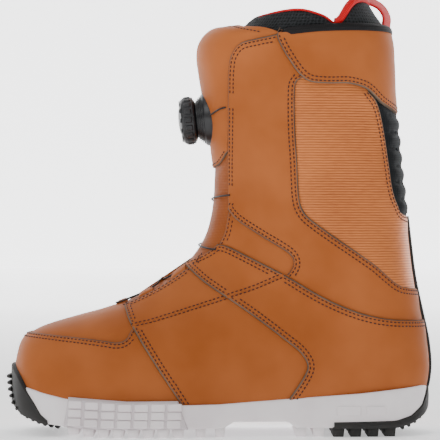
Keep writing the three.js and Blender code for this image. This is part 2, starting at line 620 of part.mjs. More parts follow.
function addDial(tongueGroup) {
  const frame = dialFrame();
  const toWorld = frame.matrixWorld;
  const inBoot = (profile, segments) => {
    const lathe = new THREE.LatheGeometry(
      profile.map(([r, h]) => new THREE.Vector2(r, h)), segments ?? 24,
    );
    return solid(lathe.applyMatrix4(toWorld));
  };
  const seat = form(-GAP);
  const plate = form(-GAP - DIAL.flangeThick);
  const disc = (r, from, to) => inBoot([[0, from], [r, from], [r, to], [0, to]]);

  const flange = disc(DIAL.flangeRadius, -14, 12).intersect(plate).subtract(seat);
  place("dial_flange", largest(flange), BLACK_RUBBER, tongueGroup);

  const D = DIAL;
  const slope = (h) => D.baseRadius + ((D.neckRadius - D.baseRadius) * h) / D.baseHeight;
  const ridge = (h) => [[slope(h), h], [slope(h) - 1, h + 0.7], [slope(h + 1.4), h + 1.4]];
  const ridges = [1.6, 3.7, 5.8].flatMap(ridge);
  const housing = inBoot([
    [0, -12], [D.baseRadius, -12], ...ridges, [D.neckRadius, D.baseHeight],
    [D.cupRadius, D.baseHeight], [D.cupRadius, D.cupFloor], [D.postRadius, D.cupFloor], [
      D.postRadius, D.baseHeight - 1,
    ], [0, D.baseHeight - 1],
  ]);
  place(
    "dial_housing", largest(housing.subtract(form(-GAP * 2 - DIAL.flangeThick))), BLACK_PLASTIC,
    tongueGroup,
  );

  const bore = D.postRadius + 0.2;
  place("dial_spool", inBoot([
    [bore, D.cupFloor + GAP], [D.spoolRadius, D.cupFloor + GAP], [D.spoolRadius, 3.6], [6.6, 3.9], [
      6.6, 5.6,
    ], [D.spoolRadius, 5.9],
    [D.spoolRadius, D.baseHeight - 0.8], [bore, D.baseHeight - 0.8], [bore, D.cupFloor + GAP],
  ]), BLACK_PLASTIC, tongueGroup);

  const inner = D.knobStart + 5.2; // the underside of the knob's crown, clear of the housing's neck
  place("dial_knob", inBoot([
    [0, inner], [13.2, inner], [13.2, D.knobStart], [D.knobRadius - 0.6, D.knobStart],
    [D.knobRadius - 0.6, 10.6 + GAP * 2], [D.knobRadius - 1.2, 10.6 + GAP * 2],
    [D.knobRadius - 1.2, 16.2], [12.6, 17.6], [9.3, 18.1], [9.3, D.knobEnd - 1.8], [0, D.knobEnd - 1.8],
  ]), BLACK_PLASTIC, tongueGroup);
  place("dial_grip", inBoot([
    [D.knobRadius - 1.2 + GAP, 11.5], [D.gripRadius - 0.6, 11.5], [D.gripRadius, 12.1], [
      D.gripRadius, 14.6,
    ], [D.gripRadius - 1.2, 16],
    [D.knobRadius - 1.2 + GAP, 16.1], [D.knobRadius - 1.2 + GAP, 11.5],
  ]), BLACK_RUBBER, tongueGroup);
  place(
    "dial_cap",
    inBoot([
      [0, D.knobEnd - 1.8 + GAP], [9.3 - GAP, D.knobEnd - 1.8 + GAP], [9.3 - GAP, 18.2],
      [6, D.knobEnd], [0, D.knobEnd],
    ]),
    BLACK_PLASTIC, tongueGroup,
  );
  place("dial_pawl_ring", inBoot([
    [4, D.knobStart + 0.4], [12.9, D.knobStart + 0.4], [12.9, inner - GAP], [
      4, inner - GAP,
    ], [4, D.knobStart + 0.4],
  ]), STEEL, tongueGroup);
  place(
    "dial_screw",
    inBoot(
      [
        [0, D.baseHeight - 1 + GAP], [3.4, D.baseHeight - 1 + GAP], [3.4, inner - GAP - 1.2],
        [0, inner - GAP - 1.2],
      ],
      16,
    ),
    STEEL, tongueGroup,
  );
}

// ---------------------------------------------------------------- cable and its guides
function tube(points, diameter, steps) {
  const curve = new THREE.CatmullRomCurve3(points);
  const ring = new THREE.Shape();
  ring.absarc(0, 0, diameter / 2, 0, 2 * Math.PI);
  return solid(new THREE.ExtrudeGeometry(
    ring, { steps, curveSegments: 4, extrudePath: curve, bevelEnabled: false },
  ));
}

// Where the front of a section at angle lies nearest the height z.
function uAtHeight(angle, z) {
  let [low, high] = [7, LAST_STATION - 3];
  for (let i = 0; i < 40; i++) {
    const middle = (low + high) / 2;
    if (pointOn(middle, angle, 0).z < z) low = middle;
    else high = middle;
  }
  return low;
}

const onTongue = (degrees, z, proud) => {
  const angle = THREE.MathUtils.degToRad(degrees);
  return pointOn(uAtHeight(angle, z), angle, -proud);
};

// A low block on the skin of the boot, between two x and two y positions.
function skinBlock(x, y, thick) {
  const layer = form(-GAP - thick).subtract(form(-GAP));
  return largest(layer.intersect(block([x[0], y[0], 60], [x[1], y[1], 150])));
}

const onSkin = (x, y, proud) => {
  const grown = form(-proud);
  const probe = grown.intersect(block([x - 0.2, y - 0.2, 60], [x + 0.2, y + 0.2, 150]));
  return new THREE.Vector3(x, y, probe.boundingBox().max[2]);
};

function addCable() {
  const proud = LACE / 2 + GAP + 0.1;
  for (const [name, side] of [["lateral", -1], ["medial", 1]]) {
    const lead = [
      onTongue(side * 26, 225.5, 3.6), onTongue(side * 31, 227, 2), onTongue(side * 36, 228.6, proud),
      onTongue(side * 41, 229.6, proud),
    ];
    place(`cable_dial_${name}`, tube(lead, LACE, 8), STEEL);
    const inner = side * GUIDES.from;
    const outer = side * GUIDES.to;
    const y = [Math.min(inner, outer), Math.max(inner, outer)];
    place(`guide_front_${name}`, skinBlock(GUIDES.front, y, GUIDES.thick), TAN);
    place(`guide_rear_${name}`, skinBlock(GUIDES.rear, y, GUIDES.thick), TAN);
  }
  place("guide_toe", skinBlock(GUIDES.toe, [-GUIDES.toeHalf, GUIDES.toeHalf], GUIDES.thick), TAN);
  // Each strand over the tongue runs from one flap to the other.
  for (const [name, reach, zLateral, zMedial] of [
    ["upper", 35, 169, 163], ["lower", 30, 129.4, 135.5],
  ]) {
    const strand = [-1, -0.7, -0.4, 0, 0.4, 0.7, 1].map((t) =>
      onTongue(t * reach, zLateral + ((zMedial - zLateral) * (t + 1)) / 2, proud));
    place(`cable_${name}`, tube(strand, LACE, 14), STEEL);
  }
  // Between the guides the cable crosses the throat strip, and at the front it turns back at the toe
  // guide.
  const [middle, gap] = [(GUIDES.from + GUIDES.to) / 2, LACE / 2 + GAP];
  const [start, end] = [GUIDES.rear[0] - gap, GUIDES.front[1] + gap];
  for (const [name, side, lift] of [["under", -1, 0], ["over", 1, LACE + GAP]]) {
    const strand = [0, 0.25, 0.5, 0.75, 1].map((t) => {
      const hump = lift * (1 - Math.abs(2 * t - 1));
      return onSkin(start + (end - start) * t, side * middle * (1 - 2 * t), proud + hump);
    });
    place(`cable_cross_${name}`, tube(strand, LACE, 8), STEEL);
  }
  const [nose, y] = [GUIDES.toe[0] - gap, GUIDES.from + gap];
  const turn = [
    [GUIDES.front[0] - gap, -middle], [GUIDES.toe[1] + 2, -y], [nose + 3, -y], [nose, -y + 3], [
      nose, y - 3,
    ], [nose + 3, y],
    [GUIDES.toe[1] + 2, y], [GUIDES.front[0] - gap, middle],
  ];
  place("cable_toe", tube(turn.map(([x, side]) => onSkin(x, side, proud)), LACE, 20), STEEL);
}

const tongue = new THREE.Group();
boot.add(tongue);
addPanels(tongue);
addStiffeners(tongue);
addBinding();
addLiner();
addPullLoop();
addSole();
addDial(tongue);
addCable();

export default boot;
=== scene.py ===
"""A left-foot snowboard boot: its visible pieces and finishes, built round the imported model.

Lengths in the tables are millimetres and turn into metres when a mesh is made. The toe points to -X,
the lateral side is -Y and +Z is up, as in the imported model.
"""
from __future__ import annotations

import json
import logging
import math
from dataclasses import dataclass, field
from enum import Enum
from typing import Callable, Iterable, Sequence

import bmesh
import bpy
import numpy as np
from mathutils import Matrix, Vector
from mathutils.geometry import delaunay_2d_cdt


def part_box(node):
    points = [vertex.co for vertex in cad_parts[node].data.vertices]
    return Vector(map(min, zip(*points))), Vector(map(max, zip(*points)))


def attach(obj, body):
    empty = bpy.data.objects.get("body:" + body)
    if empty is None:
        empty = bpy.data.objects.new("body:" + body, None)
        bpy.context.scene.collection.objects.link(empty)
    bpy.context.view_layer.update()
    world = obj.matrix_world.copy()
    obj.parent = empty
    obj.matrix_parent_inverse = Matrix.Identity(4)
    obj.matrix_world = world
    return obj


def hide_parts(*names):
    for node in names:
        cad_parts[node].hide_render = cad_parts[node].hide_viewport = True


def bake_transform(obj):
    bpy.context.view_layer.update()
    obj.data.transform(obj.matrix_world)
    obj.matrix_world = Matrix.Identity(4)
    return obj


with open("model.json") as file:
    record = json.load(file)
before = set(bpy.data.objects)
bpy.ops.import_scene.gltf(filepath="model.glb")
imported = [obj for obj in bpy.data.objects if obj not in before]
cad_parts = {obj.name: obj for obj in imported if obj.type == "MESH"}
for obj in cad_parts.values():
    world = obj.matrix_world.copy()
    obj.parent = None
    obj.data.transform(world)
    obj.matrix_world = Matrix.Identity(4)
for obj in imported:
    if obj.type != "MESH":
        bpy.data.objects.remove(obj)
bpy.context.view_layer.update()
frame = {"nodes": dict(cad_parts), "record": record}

log = logging.getLogger("boot")

MM = 0.001
TURN = 2 * math.pi
WAVE = 0.314  # the wave texture's scale at which its bands are one unit apart
Path = np.ndarray  # an (n, 2) or (n, 3) array of points


# ---------------------------------------------------------------- small tools
def resample(points: Sequence, step: float, closed: bool = False) -> Path:
    """Draws a smooth curve through points and divides it evenly.

    Args:
        points: the points that the curve passes through.
        step: the distance between the points that come back.
        closed: whether the curve returns to its start.

    Returns:
        The evenly spaced points.
    """
    p = np.asarray(points, float)
    if closed:
        p = np.vstack([p[-1:], p, p[:2]])
    else:
        p = np.vstack([2 * p[0] - p[1], p, 2 * p[-1] - p[-2]])
    fine = []
    for a, b, c, d in zip(p[:-3], p[1:-2], p[2:-1], p[3:]):
        t = np.linspace(0, 1, 24, endpoint=False)[:, None]
        fine.append(
            0.5 * (2 * b + (c - a) * t + (2 * a - 5 * b + 4 * c - d) * t**2 + (3 * b - a - 3 * c + d) * t**3)
        )
    fine = np.vstack(fine + [p[-2:-1]])
    return even(fine, step)


def even(line: Path, step: float) -> Path:
    """Divides a polyline into equal lengths of about step, keeping both ends.

    Args:
        line: its points.
        step: the spacing to come near to.

    Returns:
        The new points.
    """
    run = np.concatenate([[0], np.cumsum(np.linalg.norm(np.diff(line, axis=0), axis=1))])
    count = max(int(round(run[-1] / step)), 1)
    at = np.linspace(0, run[-1], count + 1)
    return np.column_stack([np.interp(at, run, line[:, k]) for k in range(line.shape[1])])


def cut(line: Path, start: Sequence[float], end: Sequence[float]) -> Path:
    """The stretch of a line between the points nearest to start and end, in that order."""
    i, j = (int(np.argmin(np.linalg.norm(line - np.asarray(p), axis=1))) for p in (start, end))
    return line[i : j + 1] if i <= j else line[j : i + 1][::-1]


def smoothstep(t: np.ndarray) -> np.ndarray:
    """Eases from 0 to 1 as t goes from 0 to 1."""
    t = np.clip(t, 0, 1)
    return t * t * (3 - 2 * t)


def nearest(points: Path, targets: Path) -> np.ndarray:
    """The distance from each point to the nearest of the targets.

    Args:
        points: the points to measure from.
        targets: the points to measure to.

    Returns:
        One distance for each point.
    """
    if len(targets) == 0:
        return np.full(len(points), 1e3)
    out = np.empty(len(points))
    for i in range(0, len(points), 1500):
        out[i : i + 1500] = np.linalg.norm(points[i : i + 1500, None] - targets[None], axis=2).min(axis=1)
    return out


def inside(points: Path, loop: Path) -> np.ndarray:
    """Whether each plane point lies inside a closed loop, by crossings.

    Args:
        points: plane points.
        loop: the loop's points in order.

    Returns:
        One truth value for each point.
    """
    a, b = loop, np.roll(loop, -1, axis=0)
    x, y = points[:, :1], points[:, 1:]
    crosses = (a[:, 1] > y) != (b[:, 1] > y)
    with np.errstate(divide="ignore", invalid="ignore"):
        at = (b[:, 0] - a[:, 0]) * (y - a[:, 1]) / (b[:, 1] - a[:, 1]) + a[:, 0]
    return (crosses & (x < at)).sum(axis=1) % 2 == 1


def mesh_object(
    name: str,
    vertices: Path,
    faces: Iterable[Sequence[int]],
    finishes: Sequence[bpy.types.Material],
    slots: Sequence[int] | None = None,
    uv: Path | None = None,
    sharp: float = 38,
) -> bpy.types.Object:
    """Makes a smooth-shaded object from vertices in millimetres.

    Args:
        name: the piece's name.
        vertices: the points, in millimetres.
        faces: each face's vertex indices, in either order: every closed shell is turned to face out.
        finishes: the materials, one for each slot.
        slots: each face's slot, or None for all in the first.
        uv: each vertex's place in the pattern, in metres.
        sharp: edges that turn by more than this many degrees stay crisp.

    Returns:
        The linked object.
    """
    mesh = bpy.data.meshes.new(name)
    mesh.from_pydata((np.asarray(vertices, float) * MM).tolist(), [], [tuple(map(int, f)) for f in faces])
    mesh.validate()
    shell = bmesh.new()
    shell.from_mesh(mesh)
    bmesh.ops.recalc_face_normals(shell, faces=shell.faces)
    shell.to_mesh(mesh)
    shell.free()
    for finish in finishes:
        mesh.materials.append(finish)
    if slots is not None:
        mesh.polygons.foreach_set("material_index", list(map(int, slots)))
    if uv is not None:
        corner = np.empty(len(mesh.loops), int)
        mesh.loops.foreach_get("vertex_index", corner)
        layer = mesh.uv_layers.new(name="pattern")
        layer.data.foreach_set("uv", np.asarray(uv, float)[corner].ravel())
    mesh.shade_smooth()
    mesh.set_sharp_from_angle(angle=math.radians(sharp))
    obj = bpy.data.objects.new(name, mesh)
    bpy.context.scene.collection.objects.link(obj)
    return obj


def band(rows: int, around: int, closed: bool = True, tube: bool = False) -> list[tuple[int, int, int, int]]:
    """Quads of a grid whose points run round each row in turn.

    Args:
        rows: number of rows.
        around: number of points in a row.
        closed: whether each row joins its own ends.
        tube: whether the last row joins the first.

    Returns:
        The faces.
    """
    quads = []
    for i in range(rows if tube else rows - 1):
        k = (i + 1) % rows
        for j in range(around if closed else around - 1):
            m = (j + 1) % around
            quads.append((i * around + j, i * around + m, k * around + m, k * around + j))
    return quads


def end_caps(rows: int, around: int) -> list[tuple[int, ...]]:
    """The two faces that close the ends of an open tube from band()."""
    return [tuple(i * around for i in range(rows)), tuple((i + 1) * around - 1 for i in range(rows))]


def joined(name: str, objects: Sequence[bpy.types.Object]) -> bpy.types.Object:
    """Joins objects into one named piece.

    Args:
        name: the piece's name.
        objects: its parts.

    Returns:
        The joined object.
    """
    keep = objects[0]
    with bpy.context.temp_override(active_object=keep, selected_editable_objects=list(objects)):
        bpy.ops.object.join()
    keep.name = keep.data.name = name
    return keep


# ---------------------------------------------------------------- finishes
def linear(hex_colour: str, alpha: float = 1.0) -> tuple[float, float, float, float]:
    """Turns an sRGB hex colour into linear values."""
    parts = [int(hex_colour[i : i + 2], 16) / 255 for i in (1, 3, 5)]
    return (*[c / 12.92 if c <= 0.04045 else ((c + 0.055) / 1.055) ** 2.4 for c in parts], alpha)


def per(size_mm: float) -> float:
    """The texture scale at which one cell or blotch is size_mm across."""
    return 1 / (size_mm * MM)


def add_node(
    tree: bpy.types.NodeTree,
    kind: str,
    inputs: dict | None = None,
    stops: Sequence[tuple[float, str | float]] = (),
    **settings: object,
) -> bpy.types.Node:
    """Adds a node with its settings and links.

    Args:
        tree: the tree it goes into.
        kind: its type.
        inputs: input name or index to a value, or to an output socket to link.
        stops: a colour ramp's stops, each a position and a hex colour or a grey value.
        **settings: properties to set on it.

    Returns:
        The node.
    """
    node = tree.nodes.new(kind)
    for key, value in settings.items():
        setattr(node, key, value)
    for key, value in (inputs or {}).items():
        if isinstance(value, bpy.types.NodeSocket):
            tree.links.new(value, node.inputs[key])
        else:
            node.inputs[key].default_value = value
    if stops:
        for element, (at, colour) in zip(node.color_ramp.elements, stops):
            element.position = at
            element.color = linear(colour) if isinstance(colour, str) else (colour, colour, colour, 1)
    return node


class Nodes:
    """A material that grows from one Principled shader."""

    def __init__(self, name: str, **shader: object) -> None:
        """Starts the material.

        Args:
            name: its name.
            **shader: values for the shader's own sockets.
        """
        self.material = bpy.data.materials.new(name)
        self.material.use_nodes = True
        self.tree = self.material.node_tree
        self.shader = self.tree.nodes["Principled BSDF"]
        for key, value in shader.items():
            self.shader.inputs[key.replace("_", " ")].default_value = value

    def add(self, kind: str, *args: object, **settings: object) -> bpy.types.Node:
        """Adds a shader node to this material; see add_node."""
        return add_node(self.tree, f"ShaderNode{kind}", *args, **settings)

    def relief(self, layers: Sequence[tuple[bpy.types.NodeSocket, float, float]]) -> None:
        """Stacks layers of relief on the shader.

        Args:
            layers: each layer's height, its depth in millimetres and its strength.
        """
        below = {}
        for height, depth, strength in layers:
            bump = self.add("Bump", {"Height": height, "Distance": depth * MM, "Strength": strength, **below})
            below = {"Normal": bump.outputs["Normal"]}
        self.tree.links.new(below["Normal"], self.shader.inputs["Normal"])


@dataclass(frozen=True)
class SyntheticNubuck:
    """Polyurethane leather with a buffed, waxy face: matt, with a fine grain and soft clouds of tone."""

    name: str = "synthetic_nubuck_tan"
    dark: str = "#9a5120"
    light: str = "#b36534"
    roughness: float = 0.56
    grain_mm: float = 0.9  # a real grain is near 0.3 mm; drawn coarser so that it shows

    def build(self) -> bpy.types.Material:
        """Makes the material.

        Returns:
            The material.
        """
        n = Nodes(self.name, IOR=1.5, Roughness=self.roughness, Specular_IOR_Level=0.12)
        at = n.add("TexCoord").outputs["Object"]
        clouds = n.add("TexNoise", {"Vector": at, "Scale": per(55), "Detail": 3}).outputs["Fac"]
        tint = n.add("ValToRGB", {"Fac": clouds}, [(0.28, self.dark), (0.72, self.light)])
        n.tree.links.new(tint.outputs["Color"], n.shader.inputs["Base Color"])
        waves = n.add("TexNoise", {"Vector": at, "Scale": per(28), "Detail": 2}).outputs["Fac"]
        grain = n.add("TexVoronoi", {"Vector": at, "Scale": per(self.grain_mm)}).outputs["Distance"]
        nap = n.add("TexNoise", {"Vector": at, "Scale": per(1.6), "Detail": 4}).outputs["Fac"]
        n.relief([(waves, 1.2, 0.35), (grain, 0.06, 0.35), (nap, 0.08, 0.3)])
        return n.material


@dataclass(frozen=True)
class EmbossedCloth:
    """Coated nylon pressed with fine, slightly uneven rows; the coating gives them a dull coppery shine."""

    name: str = "embossed_nylon_copper"
    dark: str = "#8a3f12"
    light: str = "#dd8443"
    row_mm: float = 1.8  # from one pressed row to the next
    stroke_mm: float = 1.5  # height of the short strokes that break the rows
    roughness: float = 0.4
    metallic: float = 0.4

    def build(self) -> bpy.types.Material:
        """Makes the material.

        Returns:
            The material.
        """
        sockets = {"Metallic": self.metallic, "Roughness": self.roughness}
        n = Nodes(self.name, IOR=1.5, Specular_IOR_Level=0.45, **sockets)
        uv = n.add("UVMap", uv_map="pattern").outputs["UV"]
        down = n.add("SeparateXYZ", {"Vector": uv}).outputs["Y"]
        phase = n.add("Math", {0: down, 1: TURN * per(self.row_mm)}, operation="MULTIPLY").outputs[0]
        wave = n.add("Math", {0: phase}, operation="SINE").outputs[0]
        reach = {"Value": wave, "From Min": -1.3, "From Max": -0.2}
        rows = n.add("MapRange", reach, interpolation_type="SMOOTHSTEP").outputs["Result"]
        drawn = n.add(
            "Mapping", {"Vector": uv, "Scale": (0.3, 1.0, 1.0)}, vector_type="POINT"
        ).outputs["Vector"]
        strokes = n.add("TexNoise", {"Vector": drawn, "Scale": per(self.stroke_mm), "Detail": 2}).outputs["Fac"]
        uneven = n.add("ValToRGB", {"Fac": strokes}, [(0.36, 0.8), (0.56, 1.0)]).outputs["Color"]
        rib = n.add("Math", {0: rows, 1: uneven}, operation="MULTIPLY").outputs[0]
        at = n.add("TexCoord").outputs["Object"]
        clouds = n.add("TexNoise", {"Vector": at, "Scale": per(60), "Detail": 1}).outputs["Fac"]
        shade = n.add("Math", {0: clouds, 1: 0.35}, operation="MULTIPLY").outputs[0]
        tone = n.add("Math", {0: rib, 1: 0.42, 2: shade}, operation="MULTIPLY_ADD").outputs[0]
        tint = n.add("ValToRGB", {"Fac": tone}, [(0.15, self.dark), (0.75, self.light)])
        n.tree.links.new(tint.outputs["Color"], n.shader.inputs["Base Color"])
        grit = n.add("TexNoise", {"Vector": at, "Scale": per(1.2), "Detail": 3}).outputs["Fac"]
        n.relief([(rib, 0.35, 0.6), (grit, 0.05, 0.3)])
        return n.material


@dataclass(frozen=True)
class WovenCloth:
    """Plain woven fabric: warp and weft threads show as a fine check; matt and soft."""

    name: str
    dark: str
    light: str
    thread_mm: float = 1.0  # a real thread is near 0.4 mm; drawn coarser so that it shows
    roughness: float = 0.75

    def build(self) -> bpy.types.Material:
        """Makes the material.

        Returns:
            The material.
        """
        n = Nodes(self.name, IOR=1.5, Roughness=self.roughness, Specular_IOR_Level=0.25)
        uv = n.add("UVMap", uv_map="pattern").outputs["UV"]
        threads = {"Vector": uv, "Scale": WAVE * per(self.thread_mm), "Distortion": 0.4, "Detail": 1.0}
        warp, weft = (n.add("TexWave", threads, bands_direction=way).outputs["Fac"] for way in ("X", "Y"))
        weave = n.add("Math", {0: warp, 1: weft}, operation="MULTIPLY").outputs[0]
        at = n.add("TexCoord").outputs["Object"]
        clouds = n.add("TexNoise", {"Vector": at, "Scale": per(20), "Detail": 3}).outputs["Fac"]
        half = n.add("Math", {0: weave, 1: 0.5}, operation="MULTIPLY").outputs[0]
        tone = n.add("Math", {0: clouds, 1: 0.6, 2: half}, operation="MULTIPLY_ADD").outputs[0]
        tint = n.add("ValToRGB", {"Fac": tone}, [(0.15, self.dark), (0.8, self.light)])
        n.tree.links.new(tint.outputs["Color"], n.shader.inputs["Base Color"])
        n.relief([(weave, 0.3, 0.5)])
        return n.material


@dataclass(frozen=True)
class SpacerMesh:
    """Knitted polyester spacer mesh: small open cells in staggered rows, with a faint sheen on the yarn."""

    name: str = "spacer_mesh_black"
    dark: str = "#08090a"
    light: str = "#26282a"
    cell_mm: float = 2.2  # a real cell is near 1.5 mm; drawn coarser so that it shows

    def build(self) -> bpy.types.Material:
        """Makes the material.

        Returns:
            The material.
        """
        n = Nodes(self.name, IOR=1.5, Roughness=0.8, Specular_IOR_Level=0.3)
        uv = n.add("UVMap", uv_map="pattern").outputs["UV"]
        cells = n.add("TexVoronoi", {"Vector": uv, "Scale": per(self.cell_mm), "Randomness": 0.25})
        yarn = n.add("ValToRGB", {"Fac": cells.outputs["Distance"]}, [(0.18, 0.0), (0.5, 1.0)]).outputs["Color"]
        tint = n.add("ValToRGB", {"Fac": yarn}, [(0.1, self.dark), (0.95, self.light)])
        n.tree.links.new(tint.outputs["Color"], n.shader.inputs["Base Color"])
        n.relief([(yarn, 0.6, 0.8)])
        return n.material


@dataclass(frozen=True)
class Moulded:
    """Moulded foam, rubber or plastic: an even colour with the fine pitting of the mould."""

    name: str
    dark: str
    light: str
    roughness: float
    grain_mm: float = 1.2
    depth: float = 0.06
    ior: float = 1.5

    def build(self) -> bpy.types.Material:
        """Makes the material.

        Returns:
            The material.
        """
        n = Nodes(self.name, IOR=self.ior, Roughness=self.roughness)
        at = n.add("TexCoord").outputs["Object"]
        clouds = n.add("TexNoise", {"Vector": at, "Scale": per(30), "Detail": 4}).outputs["Fac"]
        pitting = n.add("TexNoise", {"Vector": at, "Scale": per(self.grain_mm), "Detail": 3}).outputs["Fac"]
        tint = n.add("ValToRGB", {"Fac": clouds}, [(0.3, self.dark), (0.7, self.light)])
        n.tree.links.new(tint.outputs["Color"], n.shader.inputs["Base Color"])
        n.relief([(pitting, self.depth, 0.5)])
        return n.material


@dataclass(frozen=True)
class Cable:
    """Stranded steel cable in dark nylon: a fine twist along it, and a crisp shine."""

    name: str = "coated_steel_cable"
    colour: str = "#140c08"
    lay_mm: float = 0.8

    def build(self) -> bpy.types.Material:
        """Makes the material.

        Returns:
            The material.
        """
        n = Nodes(self.name, Base_Color=linear(self.colour), IOR=1.53, Roughness=0.5)
        at = n.add("TexCoord").outputs["Object"]
        lay = n.add("TexWave", {"Vector": at, "Scale": WAVE * per(self.lay_mm)}, bands_direction="DIAGONAL")
        n.relief([(lay.outputs["Fac"], 0.15, 0.6)])
        return n.material


class Finishes:
    """Every finish of the boot, made once."""

    def __init__(self) -> None:
        """Builds the materials."""
        self.nubuck = SyntheticNubuck().build()
        self.cloth = EmbossedCloth().build()
        self.tongue_cloth = WovenCloth("woven_nylon_copper", "#87400c", "#a05314", 1.1, 0.55).build()
        self.raw_edge = Moulded("cut_leather_edge", "#4c3a2e", "#75604e", 0.9, 0.8).build()
        self.thread = Moulded("waxed_polyester_thread", "#280a02", "#421604", 0.6, 0.5).build()
        self.mesh = SpacerMesh().build()
        self.bellows = WovenCloth("ribbed_nylon_black", "#07090b", "#14191c", 1.2, 0.75).build()
        self.binding = WovenCloth("woven_binding_black", "#0b0a0b", "#1c191b", 1.0, 0.7).build()
        self.webbing = WovenCloth("woven_webbing_red", "#b00008", "#e00812", 1.3, 0.6).build()
        self.foam = Moulded("moulded_eva_white", "#efe6e8", "#fdf8f8", 0.62, 1.0, 0.04).build()
        # Painted shade: the sole's white foam made darker for the underside and the forefoot wall, so that the
        # gaps between lugs and tiles look shaded.
        self.foam_painted_shade = Moulded("moulded_eva_grooves", "#d5cccf", "#e2dadd", 0.8, 1.0, 0.04).build()
        self.rubber = Moulded("moulded_rubber_black", "#141413", "#262422", 0.7, 0.9, 0.08).build()
        self.soft_plastic = Moulded("overmoulded_elastomer_black", "#0c0c0e", "#1b1b1e", 0.5, 0.6, 0.05).build()
        self.nylon = Moulded("moulded_nylon_black", "#08080a", "#141417", 0.34, 0.8, 0.03, 1.53).build()
        self.cable = Cable().build()
        self.board = Moulded("pressed_fibre_board", "#6e5f4b", "#93826a", 0.9).build()


# ---------------------------------------------------------------- the boot's form
@dataclass(frozen=True)
class Form:
    """The boot's shape as a fan of flat sections, as on a shoemaker's last.

    A place on it is u, which counts sections from the toe to above the collar, and an angle, which is 0
    at the front, positive on the medial side, negative on the lateral side and half a turn at the back.
    """

    # front x, front z, back x, back z, shift to medial, half width, where widest, roundness front and back
    sections: tuple = (
        (-145.5, 47, -145.5, 47, 6, 0, 0.5, 2, 2),
        (-144.8, 54, -145, 40, 6, 9.5, 0.5, 2, 2.2),
        (-141.5, 64, -142.8, 29, 5.8, 21, 0.52, 2.1, 2.3),
        (-134, 71.3, -137, 18, 5, 32, 0.57, 2.15, 2.6),
        (-120.5, 77, -124, 8.5, 3.8, 42, 0.62, 2.15, 3),
        (-102, 82.5, -104, 5, 2.2, 48.5, 0.65, 2.1, 3.3),
        (-82, 88, -79, 4, 0.8, 51.8, 0.67, 2.1, 3.5),
        (-64, 94.5, -52, 4, 0.2, 51.8, 0.68, 2, 3.5),
        (-49, 102, -24, 4, 0, 49.8, 0.68, 2, 3.5),
        (-36.5, 110, 6, 4.5, 0, 47.2, 0.68, 2, 3.4),
        (-25.5, 118.5, 38, 5, 0, 45, 0.66, 2, 3.2),
        (-16, 128.5, 70, 6, 0, 43.5, 0.62, 2, 3),
        (-9.5, 140, 100, 7, 0, 42.5, 0.58, 2, 2.9),
        (-5.8, 152.5, 126, 11, 0, 42, 0.56, 2.05, 2.8),
        (-3.8, 166, 142, 23, 0, 42.5, 0.54, 2.1, 2.7),
        (-3.2, 180, 147.8, 43, 0, 43.5, 0.52, 2.1, 2.6),
        (-4.3, 195, 146.6, 65, 0, 44.5, 0.5, 2.15, 2.5),
        (-6.5, 210, 141.8, 88, 0, 45.5, 0.5, 2.2, 2.45),
        (-9, 225, 137, 111, 0, 46.5, 0.49, 2.2, 2.4),
        (-11.5, 240, 133.8, 136, 0, 47.5, 0.48, 2.2, 2.4),
        (-13.8, 254, 130.5, 166, 0, 49, 0.48, 2.2, 2.4),
        (-15.3, 266.5, 127, 198, 0, 50.5, 0.48, 2.2, 2.4),
        (-13.5, 276.5, 124.2, 232, 0, 52, 0.48, 2.2, 2.4),
        (-6, 284.5, 123, 263, 0, 53, 0.48, 2.2, 2.4),
        (8, 288.5, 121, 286.5, 0, 53, 0.48, 2.2, 2.4),
        (18, 298, 113.5, 299, 0, 52.5, 0.48, 2.2, 2.4),
        (26, 310, 106, 311, 0, 52, 0.48, 2.2, 2.4),
    )

    @property
    def last(self) -> int:
        """The index of the last section."""
        return len(self.sections) - 1

    def values(self, u: np.ndarray) -> np.ndarray:
        """The section values at each u, smoothly between the table's rows.

        Args:
            u: places along the form.

        Returns:
            One row of values for each place.
        """
        rows = np.asarray(self.sections, float)
        mirrored = rows[1][[2, 3, 0, 1, 4, 5, 6, 7, 8]] * np.array([1, 1, 1, 1, 1, -1, 1, 1, 1])
        rows = np.vstack([mirrored, rows, 2 * rows[-1] - rows[-2]])
        u = np.clip(np.asarray(u, float), 0, self.last - 1e-6)
        i = u.astype(int)
        t = (u - i)[:, None]
        a, b, c, d = rows[i], rows[i + 1], rows[i + 2], rows[i + 3]
        return 0.5 * (2 * b + (c - a) * t + (2 * a - 5 * b + 4 * c - d) * t**2 + (3 * b - a - 3 * c + d) * t**3)

    def base(self, u: np.ndarray, angle: np.ndarray) -> Path:
        """Points on the form itself, in millimetres.

        Args:
            u: places along the form.
            angle: angles round it.

        Returns:
            The points.
        """
        s = self.values(u)
        c, d = np.cos(angle), np.abs(np.sin(angle))
        power = np.where(c > 0, s[:, 7], s[:, 8])
        r = (np.abs(c) ** power + d**power) ** (-1 / power)
        wide = s[:, 6]
        t = np.where(c > 0, wide * (1 - r * c), wide - (1 - wide) * r * c)
        x = s[:, 0] + t * (s[:, 2] - s[:, 0])
        z = s[:, 1] + t * (s[:, 3] - s[:, 1])
        return np.column_stack([x, s[:, 4] + np.sign(np.sin(angle)) * s[:, 5] * r * d, z])

    def normal(self, u: np.ndarray, angle: np.ndarray) -> Path:
        """Outward normals of the form.

        Args:
            u: places along the form.
            angle: angles round it.

        Returns:
            Unit vectors.
        """
        du, da = 0.05, 0.02
        along = self.base(u + du, angle) - self.base(np.maximum(u - du, 0.001), angle)
        across = self.base(u, angle + da) - self.base(u, angle - da)
        n = np.cross(along, across)
        return n / np.maximum(np.linalg.norm(n, axis=1, keepdims=True), 1e-9)

    def point(self, u: np.ndarray, angle: np.ndarray, proud: np.ndarray | float = 0.0) -> Path:
        """Points that stand proud of the form along its normal, in millimetres."""
        u, angle = np.asarray(u, float), np.asarray(angle, float)
        return self.base(u, angle) + self.normal(u, angle) * np.reshape(proud, (-1, 1))

